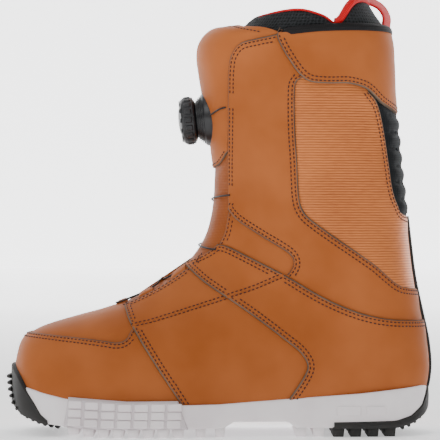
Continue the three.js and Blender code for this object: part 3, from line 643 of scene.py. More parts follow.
    def locate(self, side_view: Path) -> Path:
        """Turns side-view points into places on the form; points off it go to its edge.

        Args:
            side_view: points [x, z] in millimetres.

        Returns:
            Rows of [u, angle] on the medial side.
        """
        p = np.asarray(side_view, float)
        fine = np.linspace(0.02, self.last - 0.02, 1200)
        s = self.values(fine)
        chord = s[:, 2:4] - s[:, 0:2]
        rel = p[:, None, :] - s[None, :, 0:2]
        lean = chord[:, 0] * rel[:, :, 1] - chord[:, 1] * rel[:, :, 0]
        t = (rel * chord).sum(axis=2) / (chord**2).sum(axis=1)
        flips = (lean[:, :-1] * lean[:, 1:] <= 0).astype(float)
        miss = np.abs(np.clip(t[:, :-1], 0, 1) - t[:, :-1])
        score = np.where(flips > 0, miss, 1e6)
        k = score.argmin(axis=1)
        none = score.min(axis=1) >= 1e6
        k[none] = np.abs(lean[none]).argmin(axis=1).clip(0, len(fine) - 2)
        rows = np.arange(len(p))
        a, b = lean[rows, k], lean[rows, k + 1]
        w = np.where(np.abs(a - b) > 1e-9, a / np.where(np.abs(a - b) > 1e-9, a - b, 1), 0).clip(0, 1)
        u = fine[k] + w * (fine[1] - fine[0])
        s = self.values(u)
        chord = s[:, 2:4] - s[:, 0:2]
        t = (((p - s[:, 0:2]) * chord).sum(axis=1) / (chord**2).sum(axis=1)).clip(0, 1)
        wide = s[:, 6]
        front = t < wide
        c = np.where(front, 1 - t / wide, -(t - wide) / (1 - wide))
        power = np.where(front, s[:, 7], s[:, 8])
        d = (1 - np.abs(c) ** power).clip(0, 1) ** (1 / power)
        return np.column_stack([u, np.arctan2(d, c)])


FORM = Form()

# Seam lines in side view, [x, z]. An end that runs past its neighbour lies off the boot.
SEAMS = {
    "toe": [
        (-155, 71), (-133, 70.5), (-113, 69.3), (-94, 67.9), (-80, 66.5), (-71, 65.5), (-64.9, 68),
        (-60.9, 75.4),
    ],
    "vamp_rear": [(-72, 102), (-66.4, 87.8), (-61.6, 77.2), (-45.1, 50.9), (-25.7, 21.8), (-18, 10)],
    "side": [(-61.3, 76.6), (-28.7, 86.6), (0.3, 95.9), (23.2, 103.8), (44.6, 112.8)],
    "heel_front": [
        (-24.9, 119.3), (-11.1, 107.2), (6.2, 95.6), (24.6, 83), (44, 68.4), (55.5, 59), (60.6, 50),
        (57.6, 41.2), (47.9, 26.6), (37, 10),
    ],
    "ankle": [
        (-1.5, 133.6), (6.2, 132), (19.7, 125.4), (46, 112.1), (62.5, 102.3), (78, 94.1), (97.4, 86.4),
        (116.9, 82), (137.2, 80.5), (158, 80),
    ],
    "window": [
        (6, 158.6), (12.8, 150.5), (29.4, 139.3), (43.9, 130.5), (49.9, 125.6), (51.3, 120.8), (49.5, 116),
        (46, 112.1),
    ],
    "rear_panel": [
        (58, 249.5), (53, 246.5), (51.6, 239), (51.8, 215.7), (53.3, 191.4), (54.7, 167.2), (57.6, 157.5),
        (63.4, 150.9), (78, 140.2), (93.5, 129.5), (107.1, 119.8), (116.9, 111.1), (123.6, 105.8),
        (131.4, 103.3), (158, 100),
    ],
    "bellows": [
        (103, 240.4), (109, 231.3), (113, 215.7), (116.9, 191.4), (119.8, 172.1), (123.6, 161.3),
        (128.5, 154.6), (150, 150.5),
    ],
    "collar": [
        (41.5, 284), (39.5, 277.5), (43, 269.1), (48.9, 259.4), (54.7, 251.6), (62, 246.4), (74.1, 245.1),
        (87.7, 245.3), (97.4, 243.4), (103.2, 240.5), (109, 235.2), (114.9, 230.8), (140, 218),
    ],
    "tongue": [
        (50, 289), (40, 279.8), (27, 276.5), (15, 273.5), (8.5, 266), (6.4, 255), (6.2, 237), (6.2, 199),
        (6.3, 160), (5, 146), (2, 137.5), (-3, 131.8), (-10, 126.7), (-18, 122.7), (-27, 118.2), (-42, 111.8),
    ],
    "overlay": [(-22, 184.5), (-4.5, 188.3), (0.3, 190.7), (6.1, 199.3)],
    "rim": [
        (-60, 288.5), (5, 288.5), (17, 286.3), (30, 284.7), (39, 281.6), (43, 280.4), (70, 283.2), (113, 284.6),
        (160, 284.6),
    ],
    "hem": [
        (-170, 34), (-144, 30), (-133, 27), (-120, 24), (-64, 20), (0, 19), (48, 22), (97, 25), (141, 30),
        (170, 33),
    ],
}
LINES = {name: resample(points, 1.3) for name, points in SEAMS.items()}
STRIP_ANGLE = 0.29  # half of the throat strip, as an angle round the section
CABLE_OPENINGS = ((164.8, 174.4), (230.2, 237.5))  # heights where the cable passes the shaft's stitch rows


class Lap(Enum):
    """How a panel ends along one of its edges."""

    OVER = "lies over its neighbour and is sewn through it"
    UNDER = "runs on under its neighbour"
    FLUSH = "meets its neighbour in a flat seam"
    FREE = "ends in the open"
    HIDDEN = "ends out of sight"


class Joint(Enum):
    """Where a panel that spans both sides is whole."""

    SIDE = "one panel on each side"
    FRONT = "one panel, whole across the front"
    BACK = "one panel, whole across the back"
    TOE = "one panel, whole round the toe"


@dataclass
class Edge:
    """One edge of a panel: a line of [u, angle] on the medial side, and how the panel ends there."""

    path: Path
    lap: Lap
    rows: tuple[float, ...] | None = None  # stitch rows that differ from the panel's own
    gaps: tuple[tuple[float, float], ...] = ()  # heights between which the rows stop


def seam(name: str, start: Sequence[float], end: Sequence[float], lap: Lap, **stitching: object) -> Edge:
    """The edge along a stretch of a named seam line."""
    return Edge(FORM.locate(cut(LINES[name], start, end)), lap, **stitching)


def strip_edge(start: float, end: float, lap: Lap) -> Edge:
    """The edge along the throat strip, between two places u."""
    u = np.linspace(start, end, max(int(abs(end - start) * 10), 2))
    return Edge(np.column_stack([u, np.full(len(u), STRIP_ANGLE)]), lap)


class Chart:
    """A flat layout of the form's surface in millimetres, for cutting panels.

    The strip layout suits panels round the leg and foot; the round layout is for the toe.
    """

    RADIUS = 45.0

    def __init__(self, polar: bool) -> None:
        """Chooses the layout and measures the form's length along its side.

        Args:
            polar: the joint's polar layout, or none.
        """
        self.polar = polar
        self.u = np.linspace(0, FORM.last, 400)
        side = FORM.base(self.u, np.full(400, math.pi / 2))
        self.run = np.concatenate([[0], np.cumsum(np.linalg.norm(np.diff(side, axis=0), axis=1))])

    def lay(self, place: Path) -> Path:
        """Turns [u, angle] into plane points.

        Args:
            place: rows of [u, angle].

        Returns:
            Rows of [x, y] in the plane.
        """
        run = np.interp(place[:, 0], self.u, self.run)
        if self.polar:
            return np.column_stack([run * np.cos(place[:, 1]), run * np.sin(place[:, 1])])
        return np.column_stack([run, place[:, 1] * self.RADIUS])

    def lift(self, plane: Path) -> Path:
        """Turns plane points into [u, angle].

        Args:
            plane: rows of [x, y] in the plane.

        Returns:
            Rows of [u, angle].
        """
        if self.polar:
            run = np.hypot(plane[:, 0], plane[:, 1])
            return np.column_stack([np.interp(run, self.run, self.u), np.arctan2(plane[:, 1], plane[:, 0])])
        return np.column_stack([np.interp(plane[:, 0], self.run, self.u), plane[:, 1] / self.RADIUS])

    def point(self, plane: Path, proud: np.ndarray | float = 0.0) -> Path:
        """The boot's surface above plane points."""
        place = self.lift(plane)
        return FORM.point(place[:, 0], place[:, 1], proud)

    def outward(self, plane: Path, along: Path) -> Path:
        """Plane directions that leave a counter-clockwise loop squarely, one real millimetre long.

        Args:
            plane: points of the loop.
            along: its direction at each.

        Returns:
            The directions.
        """
        step = 0.25
        right = (self.point(plane + [step, 0]) - self.point(plane - [step, 0])) / (2 * step)
        up = (self.point(plane + [0, step]) - self.point(plane - [0, step])) / (2 * step)
        real = right * along[:, :1] + up * along[:, 1:]
        square = np.cross(real, np.cross(right, up))
        square = square / np.maximum(np.linalg.norm(square, axis=1, keepdims=True), 1e-9)
        a, b, c = (right * right).sum(1), (right * up).sum(1), (up * up).sum(1)
        p, q = (right * square).sum(1), (up * square).sum(1)
        whole = np.maximum(a * c - b * b, 0.02)
        return np.column_stack([(p * c - q * b) / whole, (a * q - b * p) / whole]).clip(-3, 3)


@dataclass
class Panel:
    """One cut panel of the upper, with rolled edges, its rows of stitches and a closed back."""

    name: str
    edges: list[Edge]
    joint: Joint = Joint.SIDE
    thickness: float = 1.6
    depth: float = 0.0  # how far below the form its face lies
    lift: float = 1.5  # how far an edge that lies over its neighbour is raised
    puff: float = 0.35  # soft crown away from the edges
    roll: float = 0.7  # radius of a cut edge
    spacing: float = 2.8
    rows: tuple[float, ...] = (1.9, 4.4)  # stitch rows, from the edge
    lap: float = 1.8  # how far it runs on under a neighbour
    bumps: Callable[[Path], np.ndarray] | None = None  # extra height from [u, angle]

    def outline(self, side: int) -> tuple[Path, np.ndarray, Chart]:
        """Lays the panel's outline in the plane.

        Args:
            side: -1 for the lateral panel and 1 for the medial one; ignored if the panel spans both.

        Returns:
            The loop, each point's edge index, and the chart.
        """
        chart = Chart(self.joint is Joint.TOE)
        path = np.vstack([e.path for e in self.edges])
        index = np.concatenate([[i] * len(e.path) for i, e in enumerate(self.edges)])
        if self.joint is Joint.SIDE:
            path = path * [1, side]
        else:
            path, index = self.trimmed(path, index)
            mirror = path[::-1] * [1, -1]
            if self.joint is Joint.BACK:
                mirror = mirror + [0, TURN]
            path = np.vstack([path, mirror])
            index = np.concatenate([index, index[::-1]])
        plane = chart.lay(path)
        if self.joint is Joint.TOE:
            plane[:, 1] = np.where(np.abs(path[:, 1]) > math.pi - 1e-6, 0, plane[:, 1])
        keep = [0]
        for i in range(1, len(plane)):
            if np.linalg.norm(plane[i] - plane[keep[-1]]) > 0.35:
                keep.append(i)
        if np.linalg.norm(plane[keep[-1]] - plane[0]) < 0.35:
            keep.pop()
        plane, index = plane[keep], index[keep]
        nxt = np.roll(plane, -1, axis=0)
        if (plane[:, 0] * nxt[:, 1] - nxt[:, 0] * plane[:, 1]).sum() < 0:
            plane, index = plane[::-1], index[::-1]
        return plane, index, chart

    @staticmethod
    def trimmed(path: Path, index: np.ndarray) -> tuple[Path, np.ndarray]:
        """Drops the points at each end that lie off the form, but for the last of them.

        Args:
            path: the edge's [u, angle] points.
            index: the edge's place in the loop.

        Returns:
            The shortened path.
        """
        off = (np.abs(path[:, 1]) < 2e-3) | (np.abs(path[:, 1]) > math.pi - 2e-3)
        on = np.flatnonzero(~off)
        first, last = max(on[0] - 1, 0), min(on[-1] + 1, len(path) - 1)
        return path[first : last + 1], index[first : last + 1]

    def laps(self, index: np.ndarray, *kinds: Lap) -> np.ndarray:
        """Marks the outline points whose edge is of one of the kinds."""
        return np.array([self.edges[i].lap in kinds for i in index])

    def height(self, place: Path, at: Path, over: Path, under: Path, flush: Path, free: Path) -> np.ndarray:
        """How far the face stands proud of the form.

        Args:
            place: [u, angle] of each point.
            at: the same points on the form.
            over, under, flush, free: points along the edges of each kind.

        Returns:
            The heights in millimetres.
        """
        d_over, d_under, d_flush, d_free = (nearest(at, e) for e in (over, under, flush, free))
        h = self.lift * (1 - smoothstep(d_over / 16)) * smoothstep(d_under / 7 + 0.05)
        h = h + self.puff * smoothstep(np.minimum.reduce([d_over, d_under, d_flush, d_free]) / 13)
        cut_edge = np.clip(1 - np.minimum(d_over, d_free) / self.roll, 0, 1)
        h = h - self.roll * (1 - np.sqrt(np.clip(1 - cut_edge**2, 0, 1)))
        h = h - 0.45 * (1 - smoothstep(d_flush / 1.3)) - 0.6 * (1 - smoothstep(d_under / 4.5))
        if self.bumps is not None:
            h = h + self.bumps(place) * smoothstep((np.minimum(d_over, d_under) - 2) / 6)
        return h - self.depth

    def build(
        self, side: int, finish: bpy.types.Material, edge_finish: bpy.types.Material
    ) -> tuple[bpy.types.Object, list]:
        """Makes the panel's mesh.

        Args:
            side: which side it is on.
            finish: the face's material.
            edge_finish: the material of the cut edge.

        Returns:
            The object, and its stitches as (points, normals, directions).
        """
        loop, index, chart = self.outline(side)
        before, after = np.roll(loop, 1, axis=0), np.roll(loop, -1, axis=0)
        along = after - before
        along = along / np.maximum(np.linalg.norm(along, axis=1, keepdims=True), 1e-9)
        out = chart.outward(loop, along)
        extend = np.where(self.laps(index, Lap.UNDER), self.lap, 0.0)
        loop = loop + out * extend[:, None]
        edge_points = chart.point(loop)
        sorted_edges = [edge_points[self.laps(index, kind)] for kind in (
            Lap.OVER, Lap.UNDER, Lap.FLUSH, Lap.FREE,
        )]

        plane = [loop]
        for inset in (0.22, 0.5, 1.0, 2.0):
            ring = loop - out * inset
            plane.append(ring[(nearest(chart.point(ring), edge_points) > inset * 0.85) & inside(ring, loop)])
        low, high = loop.min(axis=0), loop.max(axis=0)
        grid = np.stack(
            np.meshgrid(np.arange(low[0], high[0], self.spacing), np.arange(low[1], high[1], self.spacing)), -1
        )
        grid = grid + (np.arange(grid.shape[0]) % 2)[:, None, None] * [self.spacing / 2, 0]
        grid = grid.reshape(-1, 2)
        grid = grid[inside(grid, loop)]
        plane.append(grid[nearest(chart.point(grid), edge_points) > 3.2])
        flat = np.vstack(plane)
        flat, _, faces, *_ = delaunay_2d_cdt([Vector(p) for p in flat], [], [list(range(len(loop)))], 1, 1e-4)
        flat = np.array([tuple(p) for p in flat])
        faces = np.array(faces)
        place = chart.lift(flat)
        at = FORM.base(place[:, 0], place[:, 1])
        h = self.height(place, at, *sorted_edges)
        top = FORM.point(place[:, 0], place[:, 1], h)
        bottom = FORM.point(place[:, 0], place[:, 1], np.minimum(h, self.lift - self.depth) - self.thickness)

        a, b, c = (top[faces[:, k]] for k in range(3))
        facing = (np.cross(b - a, c - a) * FORM.normal(
            place[faces[:, 0], 0], place[faces[:, 0], 1]
        )).sum(axis=1)
        faces = np.where((facing < 0)[:, None], faces[:, ::-1], faces)
        count = len(flat)
        half_edges = {(int(f[k]), int(f[(k + 1) % 3])) for f in faces for k in range(3)}
        rim = [(i, j) for i, j in half_edges if (j, i) not in half_edges]
        walls = [(j, i, i + count, j + count) for i, j in rim]
        cut_face = nearest(at, sorted_edges[0]) < 1.05
        slots = [int(cut_face[list(f)].all()) for f in faces] + [0] * len(faces) + [1] * len(walls)
        everything = [tuple(f) for f in faces] + [tuple(int(i) + count for i in f[::-1]) for f in faces] + walls
        uv = np.column_stack([place[:, 1] * 46, at[:, 2]]) * MM
        obj = mesh_object(
            self.name, np.vstack([top, bottom]), everything, [finish, edge_finish], slots, np.vstack([uv, uv])
        )
        return obj, self.stitches(loop, index, out, chart, edge_points, sorted_edges)

    def stitches(
        self, loop: Path, index: np.ndarray, out: Path, chart: Chart, edge_points: Path, sorted_edges: list
    ) -> list:
        """Sets out the stitch rows inside the sewn edges.

        Args:
            loop: the panel's outline in the plane.
            index: the edge that each outline point belongs to.
            out: the outline's outward directions.
            chart: the plane layout.
            edge_points: where each edge lies in space.
            sorted_edges: the outline points of each kind of edge.

        Returns:
            Points, normals and directions of each row.
        """
        found = []
        for number, edge in enumerate(self.edges):
            rows = edge.rows if edge.rows is not None else {
                Lap.OVER: self.rows, Lap.FLUSH: (1.3,)
            }.get(edge.lap, ())
            on = np.flatnonzero(index == number)
            if len(on) == 0:
                continue
            breaks = np.flatnonzero(np.diff(on) > 1)
            runs = np.split(on, breaks + 1)
            if len(runs) > 1 and runs[0][0] == 0 and runs[-1][-1] == len(loop) - 1:
                runs = [np.concatenate([runs[-1], runs[0]])] + runs[1:-1]
            for row in rows:
                for run in runs:
                    if len(run) < 4:
                        continue
                    line = loop[run] - out[run] * row
                    solid = chart.point(line)
                    keep = nearest(solid, edge_points) > row * 0.84
                    for low, high in edge.gaps:
                        keep &= (solid[:, 2] < low) | (solid[:, 2] > high)
                    for part in np.split(np.arange(len(line)), np.flatnonzero(np.diff(keep.astype(int))) + 1):
                        if keep[part[0]] and len(part) > 3:
                            found.append(self.thread(line[part], chart, sorted_edges))
        return found

    def thread(self, line: Path, chart: Chart, sorted_edges: list) -> tuple[Path, Path, Path]:
        """Divides one row into stitches and finds how each lies.

        Args:
            line: the row's points in the plane.
            chart: the plane layout.
            sorted_edges: the outline points of each kind of edge.

        Returns:
            Points, normals and directions of the stitches.
        """
        solid = chart.point(line)
        run = np.concatenate([[0], np.cumsum(np.linalg.norm(np.diff(solid, axis=0), axis=1))])
        count = max(int(run[-1] / STITCH.pitch), 1)
        at = (np.arange(count) + 0.5) * run[-1] / count
        plane = np.column_stack([np.interp(at, run, line[:, k]) for k in range(2)])
        place = chart.lift(plane)
        base = FORM.base(place[:, 0], place[:, 1])
        h = self.height(place, base, *sorted_edges)
        normal = FORM.normal(place[:, 0], place[:, 1])
        return base + normal * (h + STITCH.proud)[:, None], normal, np.gradient(
            base, axis=0,
        ) if count > 1 else normal[:, [1, 2, 0]]


@dataclass(frozen=True)
class Stitch:
    """Size of one stitch, in millimetres."""

    pitch: float = 2.9
    length: float = 2.15
    width: float = 1.0
    proud: float = 0.1


STITCH = Stitch()


# ---------------------------------------------------------------- repeats
class Scatter:
    """Sets copies of a small shape on points with Geometry Nodes.

    Each point carries the way the copy faces (its Z), the way it runs (its X), and its size.
    """

    def __init__(self, name: str) -> None:
        """Starts an empty set of places.

        Args:
            name: the piece's name.
        """
        self.name = name
        self.points: list[Path] = []
        self.faces: list[Path] = []
        self.runs: list[Path] = []
        self.sizes: list[Path] = []

    def add(self, points: Path, faces: Path, runs: Path, sizes: Sequence[float] | Path) -> None:
        """Adds places, in millimetres; sizes are one triple or one for each point.

        Args:
            points: where the copies go.
            faces: which way each one faces.
            runs: which way each one runs.
            sizes: one triple, or one for each point.
        """
        points = np.asarray(points, float).reshape(-1, 3)
        self.points.append(points)
        self.faces.append(np.broadcast_to(np.asarray(faces, float), points.shape))
        self.runs.append(np.broadcast_to(np.asarray(runs, float), points.shape))
        self.sizes.append(np.broadcast_to(np.asarray(sizes, float), points.shape))

    @staticmethod
    def tree() -> bpy.types.NodeTree:
        """The node tree that all scatters share: copies, realized and given their material.

        Returns:
            The node group.
        """
        if "copies_on_points" in bpy.data.node_groups:
            return bpy.data.node_groups["copies_on_points"]
        tree = bpy.data.node_groups.new("copies_on_points", "GeometryNodeTree")
        face = tree.interface
        face.new_socket("Geometry", in_out="INPUT", socket_type="NodeSocketGeometry")
        face.new_socket("Shape", in_out="INPUT", socket_type="NodeSocketObject")
        face.new_socket("Finish", in_out="INPUT", socket_type="NodeSocketMaterial")
        face.new_socket("Geometry", in_out="OUTPUT", socket_type="NodeSocketGeometry")

        source = add_node(tree, "NodeGroupInput")
        kind = "GeometryNodeInputNamedAttribute"
        read = {
            name: add_node(tree, kind, {"Name": name}, data_type="FLOAT_VECTOR").outputs["Attribute"]
            for name in ("face", "run", "size")
        }
        axes = {0: read["face"], 1: read["run"]}
        turn = add_node(tree, "FunctionNodeAxesToRotation", axes, primary_axis="Z", secondary_axis="X")
        shape = add_node(tree, "GeometryNodeObjectInfo", {"Object": source.outputs["Shape"]})
        copies = add_node(
            tree,
            "GeometryNodeInstanceOnPoints",
            {
                "Points": source.outputs["Geometry"],
                "Instance": shape.outputs["Geometry"],
                "Rotation": turn.outputs[0],
                "Scale": read["size"],
            },
        )
        real = add_node(tree, "GeometryNodeRealizeInstances", {"Geometry": copies.outputs["Instances"]})
        finish = {"Geometry": real.outputs["Geometry"], "Material": source.outputs["Finish"]}
        dressed = add_node(tree, "GeometryNodeSetMaterial", finish)
        add_node(tree, "NodeGroupOutput", {"Geometry": dressed.outputs["Geometry"]})
        return tree

    def build(self, shape: bpy.types.Object, finish: bpy.types.Material) -> bpy.types.Object:
        """Makes one plain mesh of all the copies; the shape is used up.

        Args:
            shape: the object to copy, one unit in size.
            finish: the material of the copies.

        Returns:
            The piece.
        """
        mesh = bpy.data.meshes.new(self.name)
        points = np.vstack(self.points) * MM
        mesh.from_pydata(points.tolist(), [], [])
        for name, rows, scale in (("face", self.faces, 1), ("run", self.runs, 1), ("size", self.sizes, MM)):
            layer = mesh.attributes.new(name, "FLOAT_VECTOR", "POINT")
            layer.data.foreach_set("vector", (np.vstack(rows) * scale).ravel())
        carrier = bpy.data.objects.new(self.name, mesh)
        bpy.context.scene.collection.objects.link(carrier)
        modifier = carrier.modifiers.new("copies", "NODES")
        modifier.node_group = self.tree()
        sockets = {
            s.name: s.identifier
            for s in modifier.node_group.interface.items_tree if s.in_out == "INPUT"
        }
        modifier[sockets["Shape"]] = shape
        modifier[sockets["Finish"]] = finish
        bpy.context.view_layer.update()
        plain = bpy.data.meshes.new_from_object(carrier.evaluated_get(bpy.context.evaluated_depsgraph_get()))
        carrier.modifiers.clear()
        carrier.data = plain
        plain.name = self.name
        if not plain.materials:
            plain.materials.append(finish)
        bpy.data.objects.remove(shape)
        return carrier


def bead(rings: int = 4, around: int = 6) -> bpy.types.Object:
    """A small rounded bead, one unit long, for a stitch.

    Args:
        rings: rings of vertices along it.
        around: vertices in a ring.

    Returns:
        The mesh.
    """
    points, faces = [(-0.5, 0, 0)], []
    for i in range(1, rings):
        t = math.pi * i / rings
        for j in range(around):
            a = TURN * j / around
            points.append((
                -0.5 * math.cos(t),
                0.5 * math.sin(t) ** 0.7 * math.cos(a),
                0.5 * math.sin(t) ** 0.7 * math.sin(a),
            ))
    points.append((0.5, 0, 0))
    for j in range(around):
        k = (j + 1) % around
        faces.append((0, 1 + k, 1 + j))
        faces.append((len(points) - 1, 1 + (rings - 2) * around + j, 1 + (rings - 2) * around + k))
        for i in range(rings - 2):
            faces.append((
                1 + i * around + j, 1 + i * around + k, 1 + (i + 1) * around + k, 1 + (i + 1) * around + j
            ))
    return mesh_object("bead", np.array(points) / MM, faces, [], sharp=80)


def block(bevel: float = 0.12, taper: float = 1.0, steps: int = 2) -> bpy.types.Object:
    """A block one unit across whose base lies on z = 0, with bevelled edges.

    Args:
        bevel: width of the bevels.
        taper: size of its top, as a share of its base.
        steps: faces across a bevel.

    Returns:
        The mesh.
    """
    mesh = bpy.data.meshes.new("block")
    half = [(-0.5, -0.5), (0.5, -0.5), (0.5, 0.5), (-0.5, 0.5)]
    points = [(x, y, 0) for x, y in half] + [(x * taper, y * taper, 1) for x, y in half]
    mesh.from_pydata(
        points, [], [(3, 2, 1, 0), (4, 5, 6, 7), (0, 1, 5, 4), (1, 2, 6, 5), (2, 3, 7, 6), (3, 0, 4, 7)]
    )
    obj = bpy.data.objects.new("block", mesh)
    bpy.context.scene.collection.objects.link(obj)
    modifier = obj.modifiers.new("bevel", "BEVEL")
    modifier.width, modifier.segments = bevel, steps
    plain = bpy.data.meshes.new_from_object(obj.evaluated_get(bpy.context.evaluated_depsgraph_get()))
    obj.modifiers.clear()
    obj.data = plain
    plain.shade_smooth()
    plain.set_sharp_from_angle(angle=math.radians(50))
    return obj


# ---------------------------------------------------------------- upper
BODY = "boot"
TONGUE = "tongue"


@dataclass
class Upper:
    """The sewn upper: every outer panel, the stitches, the collar's binding and the lace guides."""

    finishes: Finishes
    ribs: int = 7  # channels quilted across the panel above the heel
    threads: dict[str, Scatter] = field(default_factory=lambda: {b: Scatter(f"stitching_{b}") for b in (
        BODY, TONGUE,
    )})

    def panels(self) -> list[tuple[Panel, str, str, str]]:
        """Lists each panel with its finish, its body and its slot.

        Returns:
            Rows of panel, finish, body and slot.
        """
        over, under, flush, free, hidden = Lap.OVER, Lap.UNDER, Lap.FLUSH, Lap.FREE, Lap.HIDDEN
        c1, c3, c4, c5, c6, c7 = (-61, 76), (6.2, 95.8), (44.6, 112.8), (
            -24.9, 119.3,
        ), (-1.5, 133.6), (6.2, 158.6)
        c8, c9, c10, c11 = (46, 112.1), (41.5, 284), (58, 249.5), (103, 240.4)
        hem_vamp, hem_heel = (-24, 19), (41, 21)

        def spine(top: float, bottom: float) -> Edge:
            """The hidden edge down the middle of the back, between two heights."""
            z = np.linspace(top, bottom, 30)
            return Edge(FORM.locate(np.column_stack([np.full(30, 160.0), z])), hidden)

        strip_start = self.u_at(LINES["vamp_rear"], STRIP_ANGLE)
        strip_end = self.u_at(LINES["tongue"], STRIP_ANGLE)
        tan, cloth, woven = "nubuck", "cloth", "tongue_cloth"
        return [
            (
                Panel(
                    "toe_cap_leather",
                    [
                        seam("toe", (-155, 71), c1, over),
                        seam("vamp_rear", c1, hem_vamp, under),
                        seam("hem", hem_vamp, (-170, 34), hidden),
                    ],
                    Joint.TOE,
                ),
                tan,
                BODY,
                "toe_cap",
            ),
            (
                Panel(
                    "vamp_leather",
                    [seam("toe", (-155, 71), c1, under), seam("vamp_rear", c1, (-72, 102), under)],
                    Joint.FRONT,
                    puff=0.6,
                ),
                tan,
                BODY,
                "vamp",
            ),
            (
                Panel(
                    "midfoot_panel_leather",
                    [
                        seam("vamp_rear", c1, hem_vamp, over),
                        seam("hem", hem_vamp, hem_heel, hidden),
                        seam("heel_front", hem_heel, c3, under),
                        seam("side", c3, c1, flush),
                    ],
                ),
                tan,
                BODY,
                "midfoot_panel",
            ),
            (
                Panel(
                    "instep_panel_leather",
                    [
                        seam("vamp_rear", c1, self.strip_corner("vamp_rear"), over),
                        strip_edge(strip_start, strip_end, over),
                        seam("tongue", self.strip_corner("tongue"), c5, free),
                        seam("heel_front", c5, c3, under),
                        seam("side", c3, c1, flush),
                    ],
                ),
                tan,
                BODY,
                "instep_panel",
            ),
            (
                Panel(
                    "ankle_strap_leather",
                    [
                        seam("heel_front", c5, c3, over),
                        seam("side", c3, c4, flush),
                        seam("ankle", c4, c6, over),
                        seam("tongue", c6, c5, over),
                    ],
                ),
                tan,
                BODY,
                "ankle_strap",
            ),
            (
                Panel(
                    "heel_quarter_leather",
                    [
                        seam("heel_front", c3, hem_heel, over),
                        seam("hem", hem_heel, (160, 32), hidden),
                        spine(32, 80),
                        seam("ankle", (158, 80), c4, over),
                        seam("side", c4, c3, flush),
                    ],
                    puff=0.5,
                ),
                tan,
                BODY,
                "heel_quarter",
            ),
            (
                Panel(
                    "ankle_insert_leather",
                    [seam("tongue", c6, c7, over), seam("window", c7, c8, under), seam("ankle", c8, c6, under)],
                    puff=0.2,
                ),
                tan,
                BODY,
                "ankle_insert",
            ),
            (
                Panel(
                    "shaft_quarter_leather",
                    [
                        seam("tongue", c7, c9, over, gaps=CABLE_OPENINGS),
                        seam("collar", c9, c10, under),
                        seam("rear_panel", c10, (158, 100), over),
                        spine(100, 80),
                        seam("ankle", (158, 80), c8, under),
                        seam("window", c8, c7, over),
                    ],
                ),
                tan,
                BODY,
                "shaft_quarter",
            ),
            (
                Panel(
                    "rear_panel_cloth",
                    [
                        seam("rear_panel", c10, (158, 100), under),
                        spine(100, 150),
                        seam("bellows", (150, 150.5), c11, over),
                        seam("collar", c11, c10, under),
                    ],
                    puff=0.4,
                ),
                cloth,
                BODY,
                "rear_panel",
            ),
            (
                Panel(
                    "collar_leather",
                    [seam("rim", (160, 284.6), c9, free), seam("collar", c9, (140, 218), over)],
                    Joint.BACK,
                    puff=1.3,
                    thickness=2.2,
                ),
                tan,
                BODY,
                "collar_panel",
            ),
            (
                Panel(
                    "achilles_bellows_cloth",
                    [seam("collar", (140, 218), c11, under), seam("bellows", c11, (150, 150.5), under)],
                    Joint.BACK,
                    puff=0.2,
                    spacing=1.9,
                    bumps=self.quilting,
                ),
                "bellows",
                BODY,
                "achilles_bellows",
            ),
            (
                Panel(
                    "tongue_overlay_leather",
                    [
                        seam("overlay", (-22, 184.5), (6.1, 199.3), over, rows=(1.9,)),
                        seam("tongue", (6.2, 199), c9, free),
                        seam("rim", (41, 281), (-60, 288.5), free, rows=(4.6,)),
                    ],
                    Joint.FRONT,
                    puff=1.6,
                    thickness=2.4,
                ),
                tan,
                TONGUE,
                "tongue_overlay",
            ),
            (
                Panel(
                    "tongue_lower_cloth",
                    [
                        seam("overlay", (-22, 184.5), (6.1, 199.3), under),
                        seam("tongue", (6.2, 199), (-42, 111.8), free),
                    ],
                    Joint.FRONT,
                    puff=0.8,
                ),
                woven,
                TONGUE,
                "tongue_body",
            ),
            (
                Panel(
                    "throat_strip_cloth",
                    [
                        strip_edge(strip_start, strip_end, under),
                        Edge(np.array([[strip_end, STRIP_ANGLE], [strip_end, 0.0]]), free),
                        Edge(np.array([[strip_start, 0.0], [strip_start, STRIP_ANGLE]]), under),
                    ],
                    Joint.FRONT,
                    puff=0.3,
                ),
                woven,
                BODY,
                "throat_strip",
            ),
        ]

    @staticmethod
    def u_at(line: Path, angle: float) -> float:
        """Where a side-view line crosses an angle round the form.

        Args:
            line: the name of the side-view line.
            angle: the angle.

        Returns:
            The place along the form.
        """
        place = FORM.locate(line)
        on = place[(place[:, 1] > 0.02) & (place[:, 1] < 1.2)]
        return float(np.interp(angle, *on[on[:, 1].argsort()][:, [1, 0]].T))

    def strip_corner(self, name: str) -> tuple[float, float]:
        """The side-view point where a seam meets the throat strip's edge.

        Args:
            name: the name of the seam.

        Returns:
            The point [x, z].
        """
        u = self.u_at(LINES[name], STRIP_ANGLE)
        at = FORM.base(np.array([u]), np.array([STRIP_ANGLE]))[0]
        return (at[0], at[2])

    def quilting(self, place: Path) -> np.ndarray:
        """Rounded channels that run across the panel above the heel.

        Args:
            place: rows of [u, angle].

        Returns:
            The height added at each place.
        """
        at = FORM.base(place[:, 0], place[:, 1])
        low, high = 154.0, 236.0
        phase = (at[:, 2] - low) / (high - low) * self.ribs
        return 3.0 * np.abs(np.sin(math.pi * phase)) ** 0.55 - 0.8

    def build(self) -> None:
        """Makes every panel, the stitches and the trim."""
        for panel, finish, body, node in self.panels():
            sides = (-1, 1) if panel.joint is Joint.SIDE else (0,)
            for side in sides:
                suffix = {-1: "_lateral", 0: "", 1: "_medial"}[side]
                name = panel.name + suffix
                obj, rows = panel.build(side, getattr(self.finishes, finish), self.finishes.raw_edge)
                obj.name = obj.data.name = name
                seat(obj, body, node + suffix, slot=slot_of(node + suffix))
                for points, normals, runs in rows:
                    self.threads[body].add(
                        points, normals, runs, (STITCH.length, STITCH.width, STITCH.width * 0.8)
                    )
        for body, thread in self.threads.items():
            if thread.points:
                seat(thread.build(bead(), self.finishes.thread), body, slot="tan_leather")
        self.binding()
        self.backstay()
        self.guides()

